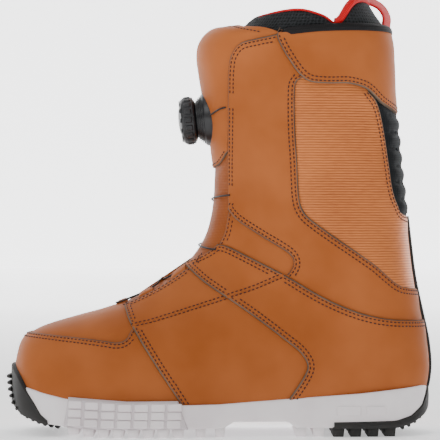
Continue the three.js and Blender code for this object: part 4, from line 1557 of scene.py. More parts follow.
    def rim_line(self, depth: float, rise: float, start: float, count: int = 160) -> Path:
        """Points round the collar's rim, at a depth below the form, from the angle start round the back.

        Args:
            depth: distance below the form.
            rise: height above the rim.
            start: the first angle.
            count: how many points.

        Returns:
            The points.
        """
        angle = np.linspace(start, TURN - start, count)
        u = np.full(count, 24.0)
        for _ in range(12):
            at = FORM.point(u, angle, -depth)
            goal = np.interp(at[:, 0], LINES["rim"][:, 0], LINES["rim"][:, 1]) + rise
            u = np.clip(u + (goal - at[:, 2]) / 14, 15, 25.9)
        return FORM.point(u, angle, -depth)

    def binding(self) -> None:
        """The woven tape folded over the collar's rim, from one side of the tongue to the other."""
        place = FORM.locate(np.array([[43.0, 280.4]]))
        start = float(place[0, 1])
        profile = [
            (-0.7, -2.2), (-1.0, -0.4), (-0.7, 1.6), (0.6, 2.9), (2.0, 3.2), (3.4, 2.9), (4.4, 1.6),
            (4.6, -0.4), (4.4, -2.2),
        ]
        rows = np.stack([self.rim_line(depth, rise, start) for depth, rise in profile])
        count = rows.shape[1]
        vertices = rows.reshape(-1, 3)
        faces = band(len(profile), count, closed=False, tube=True)
        faces += end_caps(len(profile), count)
        uv = np.column_stack([
            np.tile(np.arange(count), len(profile)), np.repeat(np.arange(len(profile)), count) * 1.3
        ]) * MM
        obj = mesh_object("collar_binding_tape", vertices, faces, [self.finishes.binding], uv=uv, sharp=60)
        seat(obj, BODY, "collar_binding", slot=slot_of("collar_binding"))

    def backstay(self) -> None:
        """The narrow rubber strip down the middle of the heel."""
        z = np.linspace(33, 153.5, 60)
        fine = np.linspace(11, 22, 300)
        u = np.interp(z, FORM.base(fine, np.full(300, math.pi))[:, 2], fine)
        half = 0.13 * smoothstep((153.5 - z) / 6 + 0.25)
        rows = []
        for share, proud in (
            (-1, -0.6), (-1, 1.9), (-0.8, 2.4), (-0.4, 2.6), (0, 2.7), (0.4, 2.6), (0.8, 2.4), (1, 1.9),
            (1, -0.6),
        ):
            rows.append(FORM.point(u, math.pi + half * share, proud))
        vertices = np.stack(rows).reshape(-1, 3)
        count = len(z)
        faces = band(len(rows), count, closed=False, tube=True)
        faces += end_caps(len(rows), count)
        obj = mesh_object("backstay_rubber", vertices, faces, [self.finishes.rubber], sharp=50)
        seat(obj, BODY, "backstay_strip", slot=slot_of("backstay_strip"))

    def guides(self) -> None:
        """The folded loops on the instep that turn the cable, each a pad with rolled ends."""
        for name in (
            "guide_toe", "guide_front_lateral", "guide_front_medial", "guide_rear_lateral", "guide_rear_medial"
        ):
            low, high = (np.array(v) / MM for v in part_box(name))
            obj = loop_pad(f"{name}_loop", low, high, self.finishes.nubuck)
            seat(obj, BODY, name, slot=slot_of(name))


def loop_pad(name: str, low: Path, high: Path, finish: bpy.types.Material) -> bpy.types.Object:
    """A folded leather loop that lies on the instep between two x and two y positions.

    Args:
        name: the piece's name.
        low: its lowest corner, in millimetres.
        high: its highest corner.
        finish: its material.

    Returns:
        The piece.
    """
    n, m = 16, 14
    x = np.linspace(low[0] - 1, high[0] + 1, n)
    y = np.linspace(low[1] - 0.5, high[1] + 0.5, m)
    gx, gy = np.meshgrid(x, y, indexing="ij")
    skin = instep_height(gx.ravel(), gy.ravel()).reshape(gx.shape)
    ex = 1 - np.abs(np.linspace(-1, 1, n))[:, None] ** 4
    ey = 1 - np.abs(np.linspace(-1, 1, m))[None, :] ** 6
    arch = 2.3 * np.sqrt(np.clip(ex * ey, 0, 1))
    top = np.stack([gx, gy, skin + 0.1 + arch], -1).reshape(-1, 3)
    bottom = np.stack([gx, gy, skin - 0.4], -1).reshape(-1, 3)
    faces = band(n, m, closed=False)
    faces = faces + [tuple(i + n * m for i in f[::-1]) for f in faces]
    ring = [(i, 0) for i in range(n)] + [(n - 1, j) for j in range(1, m)] + [(i, m - 1) for i in range(
        n - 2, -1, -1,
    )] + [(0, j) for j in range(m - 2, 0, -1)]
    ids = [i * m + j for i, j in ring]
    faces += [(a, a + n * m, b + n * m, b) for a, b in zip(ids, ids[1:] + ids[:1])]
    return mesh_object(name, np.vstack([top, bottom]), faces, [finish], uv=np.vstack([top, bottom])[:, :2] * MM)


def instep_height(x: np.ndarray, y: np.ndarray) -> np.ndarray:
    """The height of the form's top over a point of the instep.

    Args:
        x: the point's x.
        y: its y.

    Returns:
        The height, in millimetres.
    """
    u = np.linspace(3, 14, 90)
    angle = np.linspace(-0.7, 0.7, 41)
    uu, aa = np.meshgrid(u, angle, indexing="ij")
    cloud = FORM.base(uu.ravel(), aa.ravel())
    out = np.empty(len(x))
    for i, (px, py) in enumerate(zip(x, y)):
        d = (cloud[:, 0] - px) ** 2 + (cloud[:, 1] - py) ** 2
        k = np.argpartition(d, 4)[:4]
        w = 1 / (d[k] + 0.01)
        out[i] = (cloud[k, 2] * w).sum() / w.sum()
    return out


def seat(obj: bpy.types.Object, body: str, *nodes: str, slot: str | None = None) -> None:
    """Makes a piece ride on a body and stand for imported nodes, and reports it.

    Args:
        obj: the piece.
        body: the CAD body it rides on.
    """
    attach(obj, body)
    if nodes:
        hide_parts(*nodes)
    log.info("%s: %d faces on %s", obj.name, len(obj.data.polygons), body)


def slot_of(node: str) -> str:
    """The record's material slot of a node."""
    return next(s["material_slot"] for s in frame["record"]["subparts"] if s["node"] == node)


# ---------------------------------------------------------------- sole
@dataclass
class Sole:
    """The cupped foam sole, its raised forefoot wall, the rubber toe and heel, and every lug."""

    finishes: Finishes
    flare: float = 2.5
    # x, lateral y, medial y of the sole's edge at the welt
    outline: tuple = (
        (-144.8, 5, 5),
        (-142, -12.5, 23),
        (-135.5, -26.5, 36.5),
        (-121, -38, 46),
        (-102, -46, 50.5),
        (-79, -50.5, 52.2),
        (-50, -52.2, 51),
        (-20, -49.5, 47.5),
        (12, -44.5, 44),
        (45, -41, 41.5),
        (77, -39.5, 40),
        (104, -38.5, 39),
        (127, -33, 33.5),
        (140.2, -21, 21),
        (144.3, 0, 0),
    )
    wall_top: tuple = (
        (-170, 40),
        (-133, 33.5),
        (-120, 30),
        (-106, 27),
        (-64, 24.8),
        (-27, 23),
        (0, 23.4),
        (48, 26.8),
        (97, 30.3),
        (141, 35),
        (170, 38),
    )
    underside: tuple = (
        (-170, 40),
        (-145, 22),
        (-136, 14.5),
        (-122, 9.5),
        (-104, 7.7),
        (-84, 6.5),
        (2, 6.5),
        (9, 11),
        (47, 11),
        (53, 6.5),
        (122, 6.5),
        (133, 9.5),
        (141, 15),
        (147, 24),
    )
    wrap_top: tuple = ((-107, 28.2), (-64, 25.3), (-22, 25.6))
    wrap_proud: float = 2.2  # how far the forefoot wall stands out of the sole's wall
    tile: tuple = (10.1, 5.5, 1.6)  # length, height and depth of a forefoot tile
    tile_pitch: float = 11.15
    tiles_in_row: int = 7
    forefoot_pitch: float = 10.35
    heel_lugs_at: tuple = (82.3, 94.3, 106.3, 118.3)
    pads_at: tuple = ((89.5, 17.0), (108.0, 13.5))  # x and length of the raised pads on the heel's wall
    toe_rubber_top: tuple = (
        (-150, 51), (-144, 49), (-138.6, 41), (-133, 31), (-128, 24), (-123, 15.5), (-117, 10.3),
    )
    heel_rubber_top: tuple = (
        (78, 10.5), (122, 11.3), (132, 14.5), (139, 21), (142, 29), (145, 37), (150, 37.5),
    )

    def __post_init__(self) -> None:
        """Lays the edge line, lateral side first, toe to heel and back."""
        rows = self.outline
        ring = [(x, lateral) for x, lateral, _ in rows] + [(x, medial) for x, _, medial in rows[-2:0:-1]]
        self.ring = resample(ring, 2.6, closed=True)[:-1]
        tangent = np.roll(self.ring, -1, axis=0) - np.roll(self.ring, 1, axis=0)
        tangent = tangent / np.linalg.norm(tangent, axis=1, keepdims=True)
        self.out = np.column_stack([tangent[:, 1], -tangent[:, 0]])
        self.heel = int(self.ring[:, 0].argmax())

    def line(self, table: tuple, x: np.ndarray) -> np.ndarray:
        """Reads a side-view line [x, z] at x."""
        rows = np.asarray(table, float)
        return np.interp(x, rows[:, 0], rows[:, 1])

    def edge(self, x: np.ndarray, side: int) -> tuple[Path, Path]:
        """The edge line and its outward direction at x, on one side.

        Args:
            x: positions along the sole.
            side: 1 or -1.

        Returns:
            The points [x, y] and their outward directions.
        """
        part = slice(0, self.heel + 1) if side < 0 else slice(self.heel, None)
        ring, out = self.ring[part], self.out[part]
        order = ring[:, 0].argsort()
        read = [np.interp(x, ring[order, 0], values[order]) for values in (ring[:, 1], out[:, 0], out[:, 1])]
        return np.column_stack([x, read[0]]), np.column_stack(read[1:])

    def build(self) -> None:
        """Makes every piece of the sole."""
        white, black = self.finishes.foam, self.finishes.rubber
        # The underside takes the darker foam: painted shade between the lugs.
        wall = joined("midsole_foam", [self.wall(white), self.plate(self.finishes.foam_painted_shade)])
        seat(wall, BODY, "midsole", slot=slot_of("midsole"))
        # The forefoot wall takes the darker foam: painted shade between the tiles.
        wraps = [self.wrap(side, self.finishes.foam_painted_shade) for side in (-1, 1)]
        tread = joined("forefoot_wall_and_tread", wraps + [self.tiles(white), self.forefoot_lugs(white)])
        seat(tread, BODY, "forefoot_tread", slot=slot_of("forefoot_tread"))
        seat(self.heel_insert(white), BODY, "heel_tread_insert", slot=slot_of("heel_tread_insert"))
        toe = joined("toe_rubber_cap", [self.rubber(True, black), self.toe_teeth(black)])
        seat(toe, BODY, "toe_rubber", slot=slot_of("toe_rubber"))
        heel = joined(
            "heel_rubber_cup", [self.rubber(False, black), self.heel_lugs(black), self.heel_teeth(black)]
        )
        seat(heel, BODY, "heel_rubber", slot=slot_of("heel_rubber"))
        seat(self.pads(white), BODY, slot=slot_of("midsole"))

    def wall(self, finish: bpy.types.Material) -> bpy.types.Object:
        """The wall: a ring with a rounded lip, a slight bulge and a fine parting line.

        Args:
            finish: its material.

        Returns:
            The mesh object.
        """
        x = self.ring[:, 0]
        top = self.line(self.wall_top, x)
        bottom = self.line(self.underside, x)
        f = self.flare
        profile = [
            (-7, 0, -4), (-0.6, 0, -1.2), (0.6, 0, -0.1), (1.3, 0, 0), (f - 0.4, 0, -0.5), (f, 0, -1.6),
            (f + 0.3, 0.25, 0), (f + 0.4, 0.6, 0), (f, 0.86, 0), (f - 0.2, 1, 1.0), (f - 1, 1, 0), (-7, 1, 0),
        ]
        rows = []
        for off, share, rise in profile:
            z = top + (bottom - top) * share + rise
            rows.append(np.column_stack([self.ring + self.out * off, z]))
        count = len(self.ring)
        faces = band(len(rows), count, tube=True)
        return mesh_object("wall", np.vstack(rows), faces, [finish], sharp=44)

    def plate(self, finish: bpy.types.Material) -> bpy.types.Object:
        """The sole's underside, three millimetres thick.

        Args:
            finish: its material.

        Returns:
            The mesh object.
        """
        loop = self.ring - self.out * 5.5
        grid = np.stack(np.meshgrid(np.arange(-140, 142, 6.0), np.arange(-54, 56, 6.0)), -1).reshape(-1, 2)
        grid = grid[inside(grid, loop) & (nearest(grid, loop) > 3)]
        flat, _, faces, *_ = delaunay_2d_cdt(
            [Vector(p) for p in np.vstack([loop, grid])], [], [list(range(len(loop)))], 1, 1e-4
        )
        flat = np.array([tuple(p) for p in flat])
        z = self.line(self.underside, flat[:, 0])
        count = len(flat)
        low, high = np.column_stack([flat, z]), np.column_stack([flat, z + 3])
        tops = [tuple(int(i) + count for i in f) for f in faces]
        bottoms = [tuple(int(i) for i in f[::-1]) for f in faces]
        half = {(f[k], f[(k + 1) % 3]) for f in faces for k in range(3)}
        walls = [(i, j, j + count, i + count) for i, j in half if (j, i) not in half]
        return mesh_object("plate", np.vstack([low, high]), tops + bottoms + walls, [finish])

    def wrap(self, side: int, finish: bpy.types.Material) -> bpy.types.Object:
        """The raised wall beside the ball of the foot, wider at its foot than at its top.

        Args:
            side: 1 or -1.
            finish: its material.

        Returns:
            The mesh object.
        """
        n, m = 72, 16
        s, v = np.meshgrid(np.linspace(0, 1, n), np.linspace(0, 1, m), indexing="ij")
        x = (1 - s) * (-107.5 + 3.5 * v) + s * (-22.2 - 7 * v)
        low = self.line(self.underside, x) - 0.2
        high = self.line(self.wrap_top, x) + 0.4
        edge = np.minimum(np.minimum(s, 1 - s) * 85, np.minimum(v * 18, (1 - v) * 20))
        off = self.flare + 0.2 + self.wrap_proud * np.sqrt(np.clip(
            1 - (1 - np.clip(edge / 1.8, 0, 1)) ** 2, 0, 1
        ))
        at, out = self.edge(x.ravel(), side)
        z = (low + (high - low) * v).ravel()
        front = np.column_stack([at + out * off.ravel()[:, None], z])
        back = np.column_stack([at + out * 0.5, z])
        faces = band(n, m, closed=False)
        count = n * m
        ring = [(i, 0) for i in range(n)] + [(n - 1, j) for j in range(1, m)]
        ring += [(i, m - 1) for i in range(n - 2, -1, -1)] + [(0, j) for j in range(m - 2, 0, -1)]
        ids = [i * m + j for i, j in ring]
        sides = [(a, a + count, b + count, b) for a, b in zip(ids, ids[1:] + ids[:1])]
        everything = faces + [tuple(i + count for i in f[::-1]) for f in faces] + sides
        return mesh_object("wrap", np.vstack([front, back]), everything, [finish], sharp=50)

    def tiles(self, finish: bpy.types.Material) -> bpy.types.Object:
        """Three rows of raised tiles on the forefoot wall.

        Args:
            finish: its material.

        Returns:
            The mesh object.
        """
        tiles = Scatter("tiles")
        for side in (-1, 1):
            for row in range(3):
                x = -99.2 + self.tile_pitch * np.arange(self.tiles_in_row) + row * 0.35
                at, out = self.edge(x, side)
                low = self.line(self.underside, x)
                high = self.line(self.wrap_top, x)
                z = low + (high - low) * (0.2 + 0.3 * row)
                points = np.column_stack([at + out * (self.flare + self.wrap_proud), z])
                level = np.zeros(self.tiles_in_row)
                run = np.column_stack([-out[:, 1], out[:, 0], level]) * -side
                tiles.add(points, np.column_stack([out, level]), run, self.tile)
        return tiles.build(block(0.12, 0.86), finish)

    def bar(
        self, lugs: Scatter, x: float, length: float, height: float, gap: float = 3.0, inset: float = 0.4
    ) -> None:
        """Adds one lug on each side of the sole's middle.

        Args:
            lugs: the scatter it joins.
            x: its middle.
            length: its length.
            height: how far it stands off the sole.
            gap: the space between the two.
            inset: how far it stops short of the edge.
        """
        for side in (-1, 1):
            at, _ = self.edge(np.array([x]), side)
            outer = abs(at[0, 1]) + self.flare - inset
            width = outer - gap
            base = float(self.line(self.underside, np.array([x]))[0]) + 0.6
            lugs.add(
                [(x, side * (gap + width / 2), base)],
                (0, 0, -1),
                (1, 0, 0),
                (length, width, base if height == 0 else height + 0.6),
            )

    def forefoot_lugs(self, finish: bpy.types.Material) -> bpy.types.Object:
        """The lugs under the forefoot, and two small ones behind them.

        Args:
            finish: its material.

        Returns:
            The mesh object.
        """
        lugs = Scatter("lugs")
        for k in range(8):
            x = -101.5 + self.forefoot_pitch * k
            self.bar(lugs, x, 8.9, 6.4 if k else 5.6, inset=-1.9)
        for x in (-13.5, 0.0):
            self.bar(lugs, x, 7.6, 0, gap=8)
        return lugs.build(block(0.09, 0.8), finish)

    def heel_insert(self, finish: bpy.types.Material) -> bpy.types.Object:
        """The two white lugs at the breast of the heel.

        Args:
            finish: its material.

        Returns:
            The mesh object.
        """
        lugs = Scatter("heel_insert_lugs")
        for x in (56.0, 68.5):
            self.bar(lugs, x, 8.4, 0)
        return lugs.build(block(0.07, 0.86), finish)

    def heel_lugs(self, finish: bpy.types.Material) -> bpy.types.Object:
        """The rubber lugs under the heel.

        Args:
            finish: its material.

        Returns:
            The mesh object.
        """
        lugs = Scatter("heel_lugs")
        for x in self.heel_lugs_at:
            self.bar(lugs, x, 8.6, 0, inset=-0.6)
        return lugs.build(block(0.07, 0.88), finish)

    def teeth(
        self, name: str, path: Path, start: float, finish: bpy.types.Material, depth: float
    ) -> bpy.types.Object:
        """Saw teeth across the sole that follow a side-view line [x, z], each facing out of it.

        Args:
            name: the part's name.
            path: the line's points.
            start: where the teeth's roots lie.
            finish: its material.
            depth: depth of a tooth.

        Returns:
            The mesh object.
        """
        teeth = Scatter(name)
        tangent = np.gradient(path, axis=0)
        tangent = tangent / np.linalg.norm(tangent, axis=1, keepdims=True)
        for (x, z), (tx, tz) in zip(path, tangent):
            lateral, _ = self.edge(np.array([x + start]), -1)
            medial, _ = self.edge(np.array([x + start]), 1)
            width = medial[0, 1] - lateral[0, 1] + 1.2
            middle = (medial[0, 1] + lateral[0, 1]) / 2
            face = np.array([tz, 0, -tx]) * (1 if tx > 0 else -1)
            teeth.add([(x, middle, z)], face, (tx, 0, tz), (3.2, max(width, 8), depth))
        return teeth.build(block(0.1, 0.55), finish)

    def toe_teeth(self, finish: bpy.types.Material) -> bpy.types.Object:
        """The fine teeth under the toe.

        Args:
            finish: its material.

        Returns:
            The mesh object.
        """
        path = resample(
            [
                (-148.6, 40), (-147.4, 30), (-144.5, 21.5), (-138, 15.6), (-129, 11.3), (-121, 8.8),
                (-113.5, 7.6),
            ],
            4.4,
        )
        return self.teeth("toe_teeth", path, 5.5, finish, 3.4)

    def heel_teeth(self, finish: bpy.types.Material) -> bpy.types.Object:
        """The teeth that climb the back of the heel."""
        path = resample([(127.5, 7.4), (133.5, 9.8), (139, 14.2)], 4.6)
        return self.teeth("heel_teeth", path, -3.0, finish, 4.4)

    def rubber(self, toe: bool, finish: bpy.types.Material) -> bpy.types.Object:
        """The rubber layer round the toe or the heel, which covers the wall below a sloping line.

        Args:
            toe: whether it is the toe's.
            finish: its material.

        Returns:
            The mesh object.
        """
        x = self.ring[:, 0]
        on = np.flatnonzero(x < -117 if toe else x > 78)
        breaks = np.flatnonzero(np.diff(on) > 1)
        if len(breaks):
            on = np.concatenate([on[breaks[0] + 1 :], on[: breaks[0] + 1]])
        ring, out = self.ring[on], self.out[on]
        top = self.line(self.toe_rubber_top if toe else self.heel_rubber_top, ring[:, 0])
        bottom = self.line(self.underside, ring[:, 0]) - 0.5
        top = np.maximum(top, bottom + 1.5)
        f = self.flare
        proud = 1.5
        profile = [
            (f - 1.5, 0, 0), (f + 0.3, 0, 0), (f + proud, 0, -0.9), (f + proud + 0.3, 0.5, 0),
            (f + proud, 1, 1.2), (f + proud - 1, 1, 0), (-12, 1, 0), (-12, 1, 1.6), (f - 1.5, 1, 2.5),
        ]
        rows = [np.column_stack([
            ring + out * off, top + (bottom - top) * share + rise
        ]) for off, share, rise in profile]
        count = len(ring)
        faces = band(len(rows), count, closed=False, tube=True)
        faces += end_caps(len(rows), count)
        return mesh_object("rubber", np.vstack(rows), faces, [finish], sharp=44)

    def pads(self, finish: bpy.types.Material) -> bpy.types.Object:
        """Two plain raised pads on the lateral wall of the heel.

        Args:
            finish: its material.

        Returns:
            The mesh object.
        """
        pads = Scatter("heel_wall_pads")
        for x, length in self.pads_at:
            at, out = self.edge(np.array([x]), -1)
            points = np.column_stack([at + out * (self.flare + 0.1), [18.4]])
            pads.add(points, (*out[0], 0), (-out[0, 1], out[0, 0], 0), (length, 6.4, 1.2))
        return pads.build(block(0.06, 0.97), finish)


# ---------------------------------------------------------------- liner
def sweep(
    name: str,
    path: Path,
    radius: float | Sequence[float],
    finish: bpy.types.Material,
    around: int = 10,
    across: Sequence[float] | None = None,
    twist: float = 0.0,
) -> bpy.types.Object:
    """A closed round or flat strand along a path.

    Args:
        name: the piece's name.
        path: its centreline, in millimetres.
        radius: one radius, or the half width and half thickness of a flat strand.
        finish: its material.
        around: points round it.
        across: the direction of a flat strand's width.
        twist: how far it turns about its path, as an angle.

    Returns:
        The piece.
    """
    path = np.asarray(path, float)
    tangent = np.gradient(path, axis=0)
    tangent = tangent / np.linalg.norm(tangent, axis=1, keepdims=True)
    seed = np.array(across if across is not None else (0.0, 0.0, 1.0), float)
    side = np.cross(tangent, seed)
    side = side / np.maximum(np.linalg.norm(side, axis=1, keepdims=True), 1e-9)
    wide = np.cross(side, tangent)
    cos, sin = math.cos(twist), math.sin(twist)
    side, wide = side * cos - wide * sin, wide * cos + side * sin
    a, b = (radius, radius) if np.isscalar(radius) else radius
    angle = TURN * np.arange(around) / around
    power = 1.0 if np.isscalar(radius) else 0.45
    c = np.sign(np.cos(angle)) * np.abs(np.cos(angle)) ** power
    s = np.sign(np.sin(angle)) * np.abs(np.sin(angle)) ** power
    rows = (
        path[:, None, :]
        + wide[:, None, :] * (a * c)[None, :, None]
        + side[:, None, :] * (b * s)[None, :, None]
    )
    count = len(path)
    faces = band(count, around)
    vertices = np.vstack([rows.reshape(-1, 3), path[0], path[-1]])
    ends = [(count * around, (j + 1) % around, j) for j in range(around)]
    final = (count - 1) * around
    ends += [(count * around + 1, final + j, final + (j + 1) % around) for j in range(around)]
    run = np.concatenate([[0], np.cumsum(np.linalg.norm(np.diff(path, axis=0), axis=1))])
    uv = np.column_stack([np.tile(angle * a, count), np.repeat(run, around)])
    uv = np.vstack([uv, uv[:1], uv[-1:]]) * MM
    return mesh_object(name, vertices, faces + ends, [finish], uv=uv, sharp=60)


@dataclass
class Liner:
    """The padded inner boot: its cuff and foot, its tongue, the red piping and the pull loop."""

    finishes: Finishes
    outer: float = 4.4
    inner: float = 12.0
    twist: float = 0.36  # how far the pull loop turns its face to the side, as an angle
    throat: float = 0.42  # half of the open throat, as an angle
    rim: tuple = (
        (-60, 287),
        (14, 288.5),
        (31, 294),
        (54, 297),
        (71, 292.8),
        (81, 287.5),
        (90, 300),
        (97, 304.6),
        (106, 303),
        (118, 297),
        (160, 297),
    )
    board: tuple = ((-170, 28), (-140, 25), (-120, 20), (-80, 17.5), (0, 18), (60, 20.5), (110, 23), (170, 25))

    def rim_u(self, angle: np.ndarray, depth: float) -> np.ndarray:
        """Where the rim crosses each angle.

        Args:
            angle: the angles.
            depth: distance below the form.

        Returns:
            The places along the form.
        """
        rows = resample(self.rim, 2.0)
        u = np.full(len(angle), 24.0)
        for _ in range(14):
            at = FORM.point(u, angle, -depth)
            u = np.clip(u + (np.interp(at[:, 0], rows[:, 0], rows[:, 1]) - at[:, 2]) / 16, 18, 25.95)
        return u

    def build(self) -> None:
        """Makes the liner."""
        cuff = self.cuff()
        seat(cuff, BODY, "liner_shell", slot=slot_of("liner_shell"))
        tongue = self.tongue()
        seat(tongue, BODY, "liner_tongue", slot=slot_of("liner_tongue"))
        self.piping()
        self.loop()

    def cuff(self) -> bpy.types.Object:
        """The foam body, open down the front, with a rolled rim.

        Returns:
            The mesh object.
        """
        count, rows = 96, 54
        angle = np.linspace(self.throat, TURN - self.throat, count)
        middle = (self.outer + self.inner) / 2
        top = self.rim_u(angle, middle)
        half = (self.inner - self.outer) / 2
        layers = []
        share = np.linspace(0, 1, rows) ** 0.8
        roll = np.linspace(-math.pi / 2, math.pi / 2, 7)

        def layer(depth: float | np.ndarray, u: np.ndarray, clear: float) -> None:
            """Adds one row of points, held above the board.

            Args:
                depth: distance below the form.
                u: where the row lies along the form.
                clear: least height above the board.
            """
            at = FORM.point(u, angle, -np.broadcast_to(depth, count))
            at[:, 2] = np.maximum(at[:, 2], np.interp(at[:, 0], *np.asarray(self.board).T) + clear)
            layers.append(at)

        for t in share:
            layer(self.outer, 5.4 + (top - 0.35 - 5.4) * t, 0.4)
        for r in roll[1:-1]:
            layer(middle + half * math.sin(r), top - 0.35 + 0.35 * math.cos(r), 0.4)
        for t in share[::-1]:
            layer(self.inner, 5.4 + (top - 0.35 - 5.4) * t, 5.4)
        vertices = np.vstack(layers)
        faces = band(len(layers), count, closed=False, tube=True)
        faces += end_caps(len(layers), count)
        uv = np.column_stack([np.tile(angle * 46, len(layers)), vertices[:, 2]]) * MM
        return mesh_object("liner_cuff", vertices, faces, [self.finishes.mesh], uv=uv, sharp=70)

    def tongue(self) -> bpy.types.Object:
        """The liner's tongue, whose sides lie under the cuff.

        Returns:
            The mesh object.
        """
        count, rows = 34, 60
        angle = np.linspace(-0.85, 0.85, count)
        sunk = smoothstep((np.abs(angle) - 0.3) / 0.16)
        outer = 5.0 + 7.6 * sunk
        top = self.rim_u(angle, 8.0) - 0.15
        layers = []
        for depth, order in (
            (outer, np.linspace(0, 1, rows)), (outer + 4.6 + 1.5 * (1 - sunk), np.linspace(1, 0, rows))
        ):
            for t in order:
                ease = 1.6 * smoothstep((t - 0.97) / 0.03)
                depth_here = depth + (ease if order[0] == 0 else -ease)
                layers.append(FORM.point(7.5 + (top - 7.5) * t, angle, -depth_here))
        vertices = np.vstack(layers)
        faces = band(len(layers), count, closed=False, tube=True)
        faces += end_caps(len(layers), count)
        uv = np.column_stack([np.tile(angle * 46, len(layers)), vertices[:, 2]]) * MM
        return mesh_object("liner_tongue_pad", vertices, faces, [self.finishes.mesh], uv=uv, sharp=70)

    def rim_path(self, low: float, high: float, side: int, depth: float, rise: float) -> Path:
        """The stretch of the rim between two x positions on one side.

        Args:
            low: the first x.
            high: the last x.
            side: 1 or -1.
            depth: distance below the form.
            rise: height above the rim.

        Returns:
            The points.
        """
        angle = np.linspace(self.throat, math.pi, 400)
        u = self.rim_u(angle, depth)
        at = FORM.point(u, angle, -depth)
        at = at[(at[:, 0] >= low) & (at[:, 0] <= high)]
        return even(at * [1, side, 1] + [0, 0, rise], 1.6)

    def piping(self) -> None:
        """The red edging: thick over the rear tab and fine along the rest of the rim."""
        strands = []
        for side in (-1, 1):
            strands.append(sweep(
                "piping", self.rim_path(79.5, 107, side, self.outer + 1.2, 0.6), 2.7, self.finishes.webbing
            ))
            strands.append(sweep(
                "piping", self.rim_path(16, 80, side, self.outer + 0.6, -0.4), 0.8, self.finishes.webbing, 8
            ))
        piece = joined("liner_piping", strands)
        seat(piece, BODY, slot=slot_of("pull_loop"))

    def loop(self) -> None:
        """The webbing loop at the back of the liner."""
        route = [(99, 297), (101.5, 305), (107, 306.4), (114.5, 302.4), (118.6, 295.5), (118.2, 288.9)]
        path = resample([(x, 0, z) for x, z in route], 1.4)
        strap = sweep("pull_loop_webbing", path, (9.0, 1.05), self.finishes.webbing, 20, (0, 1, 0), self.twist)
        seat(strap, BODY, "pull_loop", slot=slot_of("pull_loop"))


